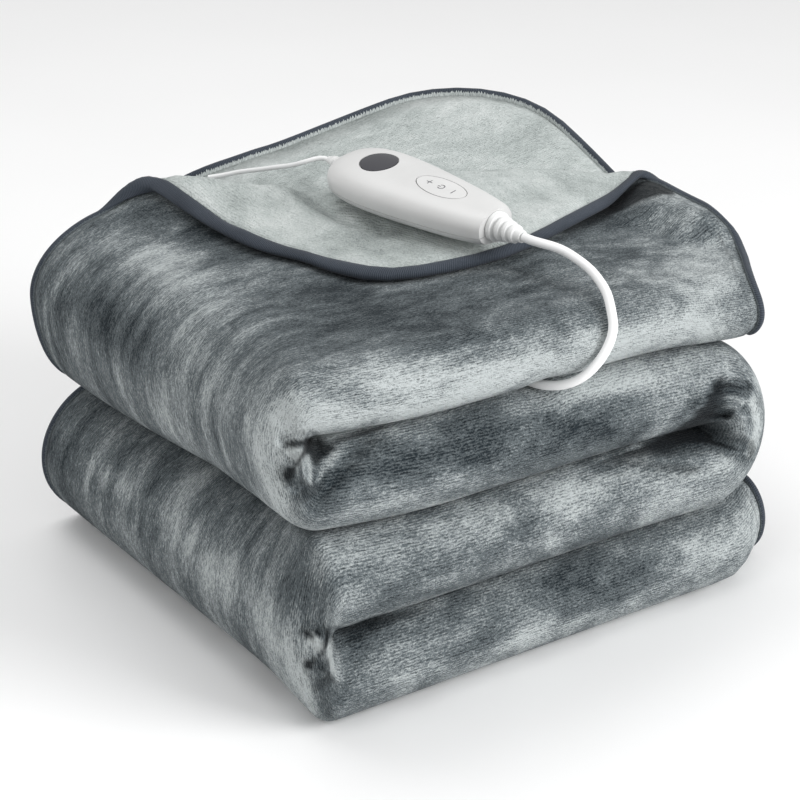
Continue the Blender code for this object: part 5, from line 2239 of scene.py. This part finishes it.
@dataclass(frozen=True)
class SoftLight:
    """One square soft light, aimed at a point."""

    name: str
    place: Place
    size: float
    power: float
    colour: Colour = (1.0, 1.0, 1.0)

    def build(self, aim: Vector) -> None:
        """Hang the light and aim it.

        Args:
            aim: What it points at.
        """
        light = bpy.data.lights.new(self.name, "AREA")
        light.size = self.size
        light.energy = self.power
        light.color = self.colour
        lamp = bpy.data.objects.new(self.name, light)
        bpy.context.scene.collection.objects.link(lamp)
        lamp.location = self.place
        lamp.rotation_mode = "QUATERNION"
        lamp.rotation_quaternion = (aim - Vector(self.place)).to_track_quat("-Z", "Y")


@dataclass
class Studio:
    """The pale floor, the soft lights and the camera."""

    target: Place = (-0.0169, -0.0240, 0.12)
    azimuth: float = -34.2577
    elevation: float = 24.4427
    distance: float = 1.4088
    lens: float = 103.5
    sensor: float = 36.0
    floor_half: float = 4.0
    floor_greys: Pair = (0.93, 0.95)
    floor_haze: float = 3.0
    sky: float = 0.55
    lights: tuple[SoftLight, ...] = (
        SoftLight("key", (1.1, -1.9, 1.15), 1.3, 50.0),
        SoftLight("fill", (-1.9, -0.4, 1.5), 1.4, 9.0),
        SoftLight("top", (-0.3, 0.9, 2.3), 1.4, 20.0),
    )

    def build(self) -> None:
        """Build the floor, the light and the camera."""
        self.build_floor()
        self.build_sky()
        for light in self.lights:
            light.build(Vector(self.target))
        self.place_camera()

    def build_floor(self) -> None:
        """Lay the pale floor."""
        half = self.floor_half
        mesh = bpy.data.meshes.new("studio_floor")
        mesh.from_pydata([(-half, -half, 0.0), (half, -half, 0.0), (half, half, 0.0), (-half, half, 0.0)],
                         [], [(0, 1, 2, 3)])
        floor = bpy.data.objects.new("studio_floor", mesh)
        bpy.context.scene.collection.objects.link(floor)
        graph = Graph("studio_white")
        haze = graph.noise(graph.place(), self.floor_haze, 2.0, 0.5)
        stops = [(place, (grey, grey, grey)) for place, grey in zip(NOISE_SPAN, self.floor_greys)]
        graph.shade(Base_Color=graph.steps(haze, *stops), Roughness=0.35, Specular_IOR_Level=0.4)
        mesh.materials.append(graph.material)

    def build_sky(self) -> None:
        """Light the scene evenly from all round."""
        world = bpy.data.worlds.new("studio_sky")
        world.use_nodes = True
        world.node_tree.nodes["Background"].inputs["Color"].default_value = (1.0, 1.0, 1.0, 1.0)
        world.node_tree.nodes["Background"].inputs["Strength"].default_value = self.sky
        bpy.context.scene.world = world
        bpy.context.scene.view_settings.view_transform = "Standard"

    def place_camera(self) -> None:
        """Set the camera at the photograph's angle."""
        camera = bpy.data.cameras.new("photo_view")
        camera.lens = self.lens
        camera.sensor_width = self.sensor
        viewer = bpy.data.objects.new("photo_view", camera)
        bpy.context.scene.collection.objects.link(viewer)
        azimuth, elevation = math.radians(self.azimuth), math.radians(self.elevation)
        back = Vector((math.sin(azimuth) * math.cos(elevation), -math.cos(azimuth) * math.cos(elevation),
                       math.sin(elevation)))
        viewer.location = Vector(self.target) + back * self.distance
        viewer.rotation_mode = "QUATERNION"
        viewer.rotation_quaternion = (-back).to_track_quat("-Z", "Y")
        bpy.context.scene.camera = viewer


def report(*pieces: Piece) -> None:
    """Log each piece's name and how much it is made of.

    Args:
        pieces: The pieces.
    """
    for piece in pieces:
        if piece.type == "CURVE":
            line = np.array([point.co[:3] for point in piece.data.splines[0].points])
            LOG.info("%s: %.3f m", piece.name, line_length(line))
        else:
            LOG.info("%s: %d faces", piece.name, len(piece.data.polygons))


def main() -> None:
    """Build the studio, then the blanket's pieces in order."""
    logging.basicConfig(level=logging.INFO, format="%(name)s: %(message)s")
    Studio().build()
    report(MainsCord().build(), HeaterLead().build())
    layout = SheetLayout()
    binding = EdgeBinding(layout).build()
    maker = BlanketCloth(layout)
    cloth = maker.build()
    report(binding, cloth, *HandController().build())


if __name__ == "__main__":
    main()
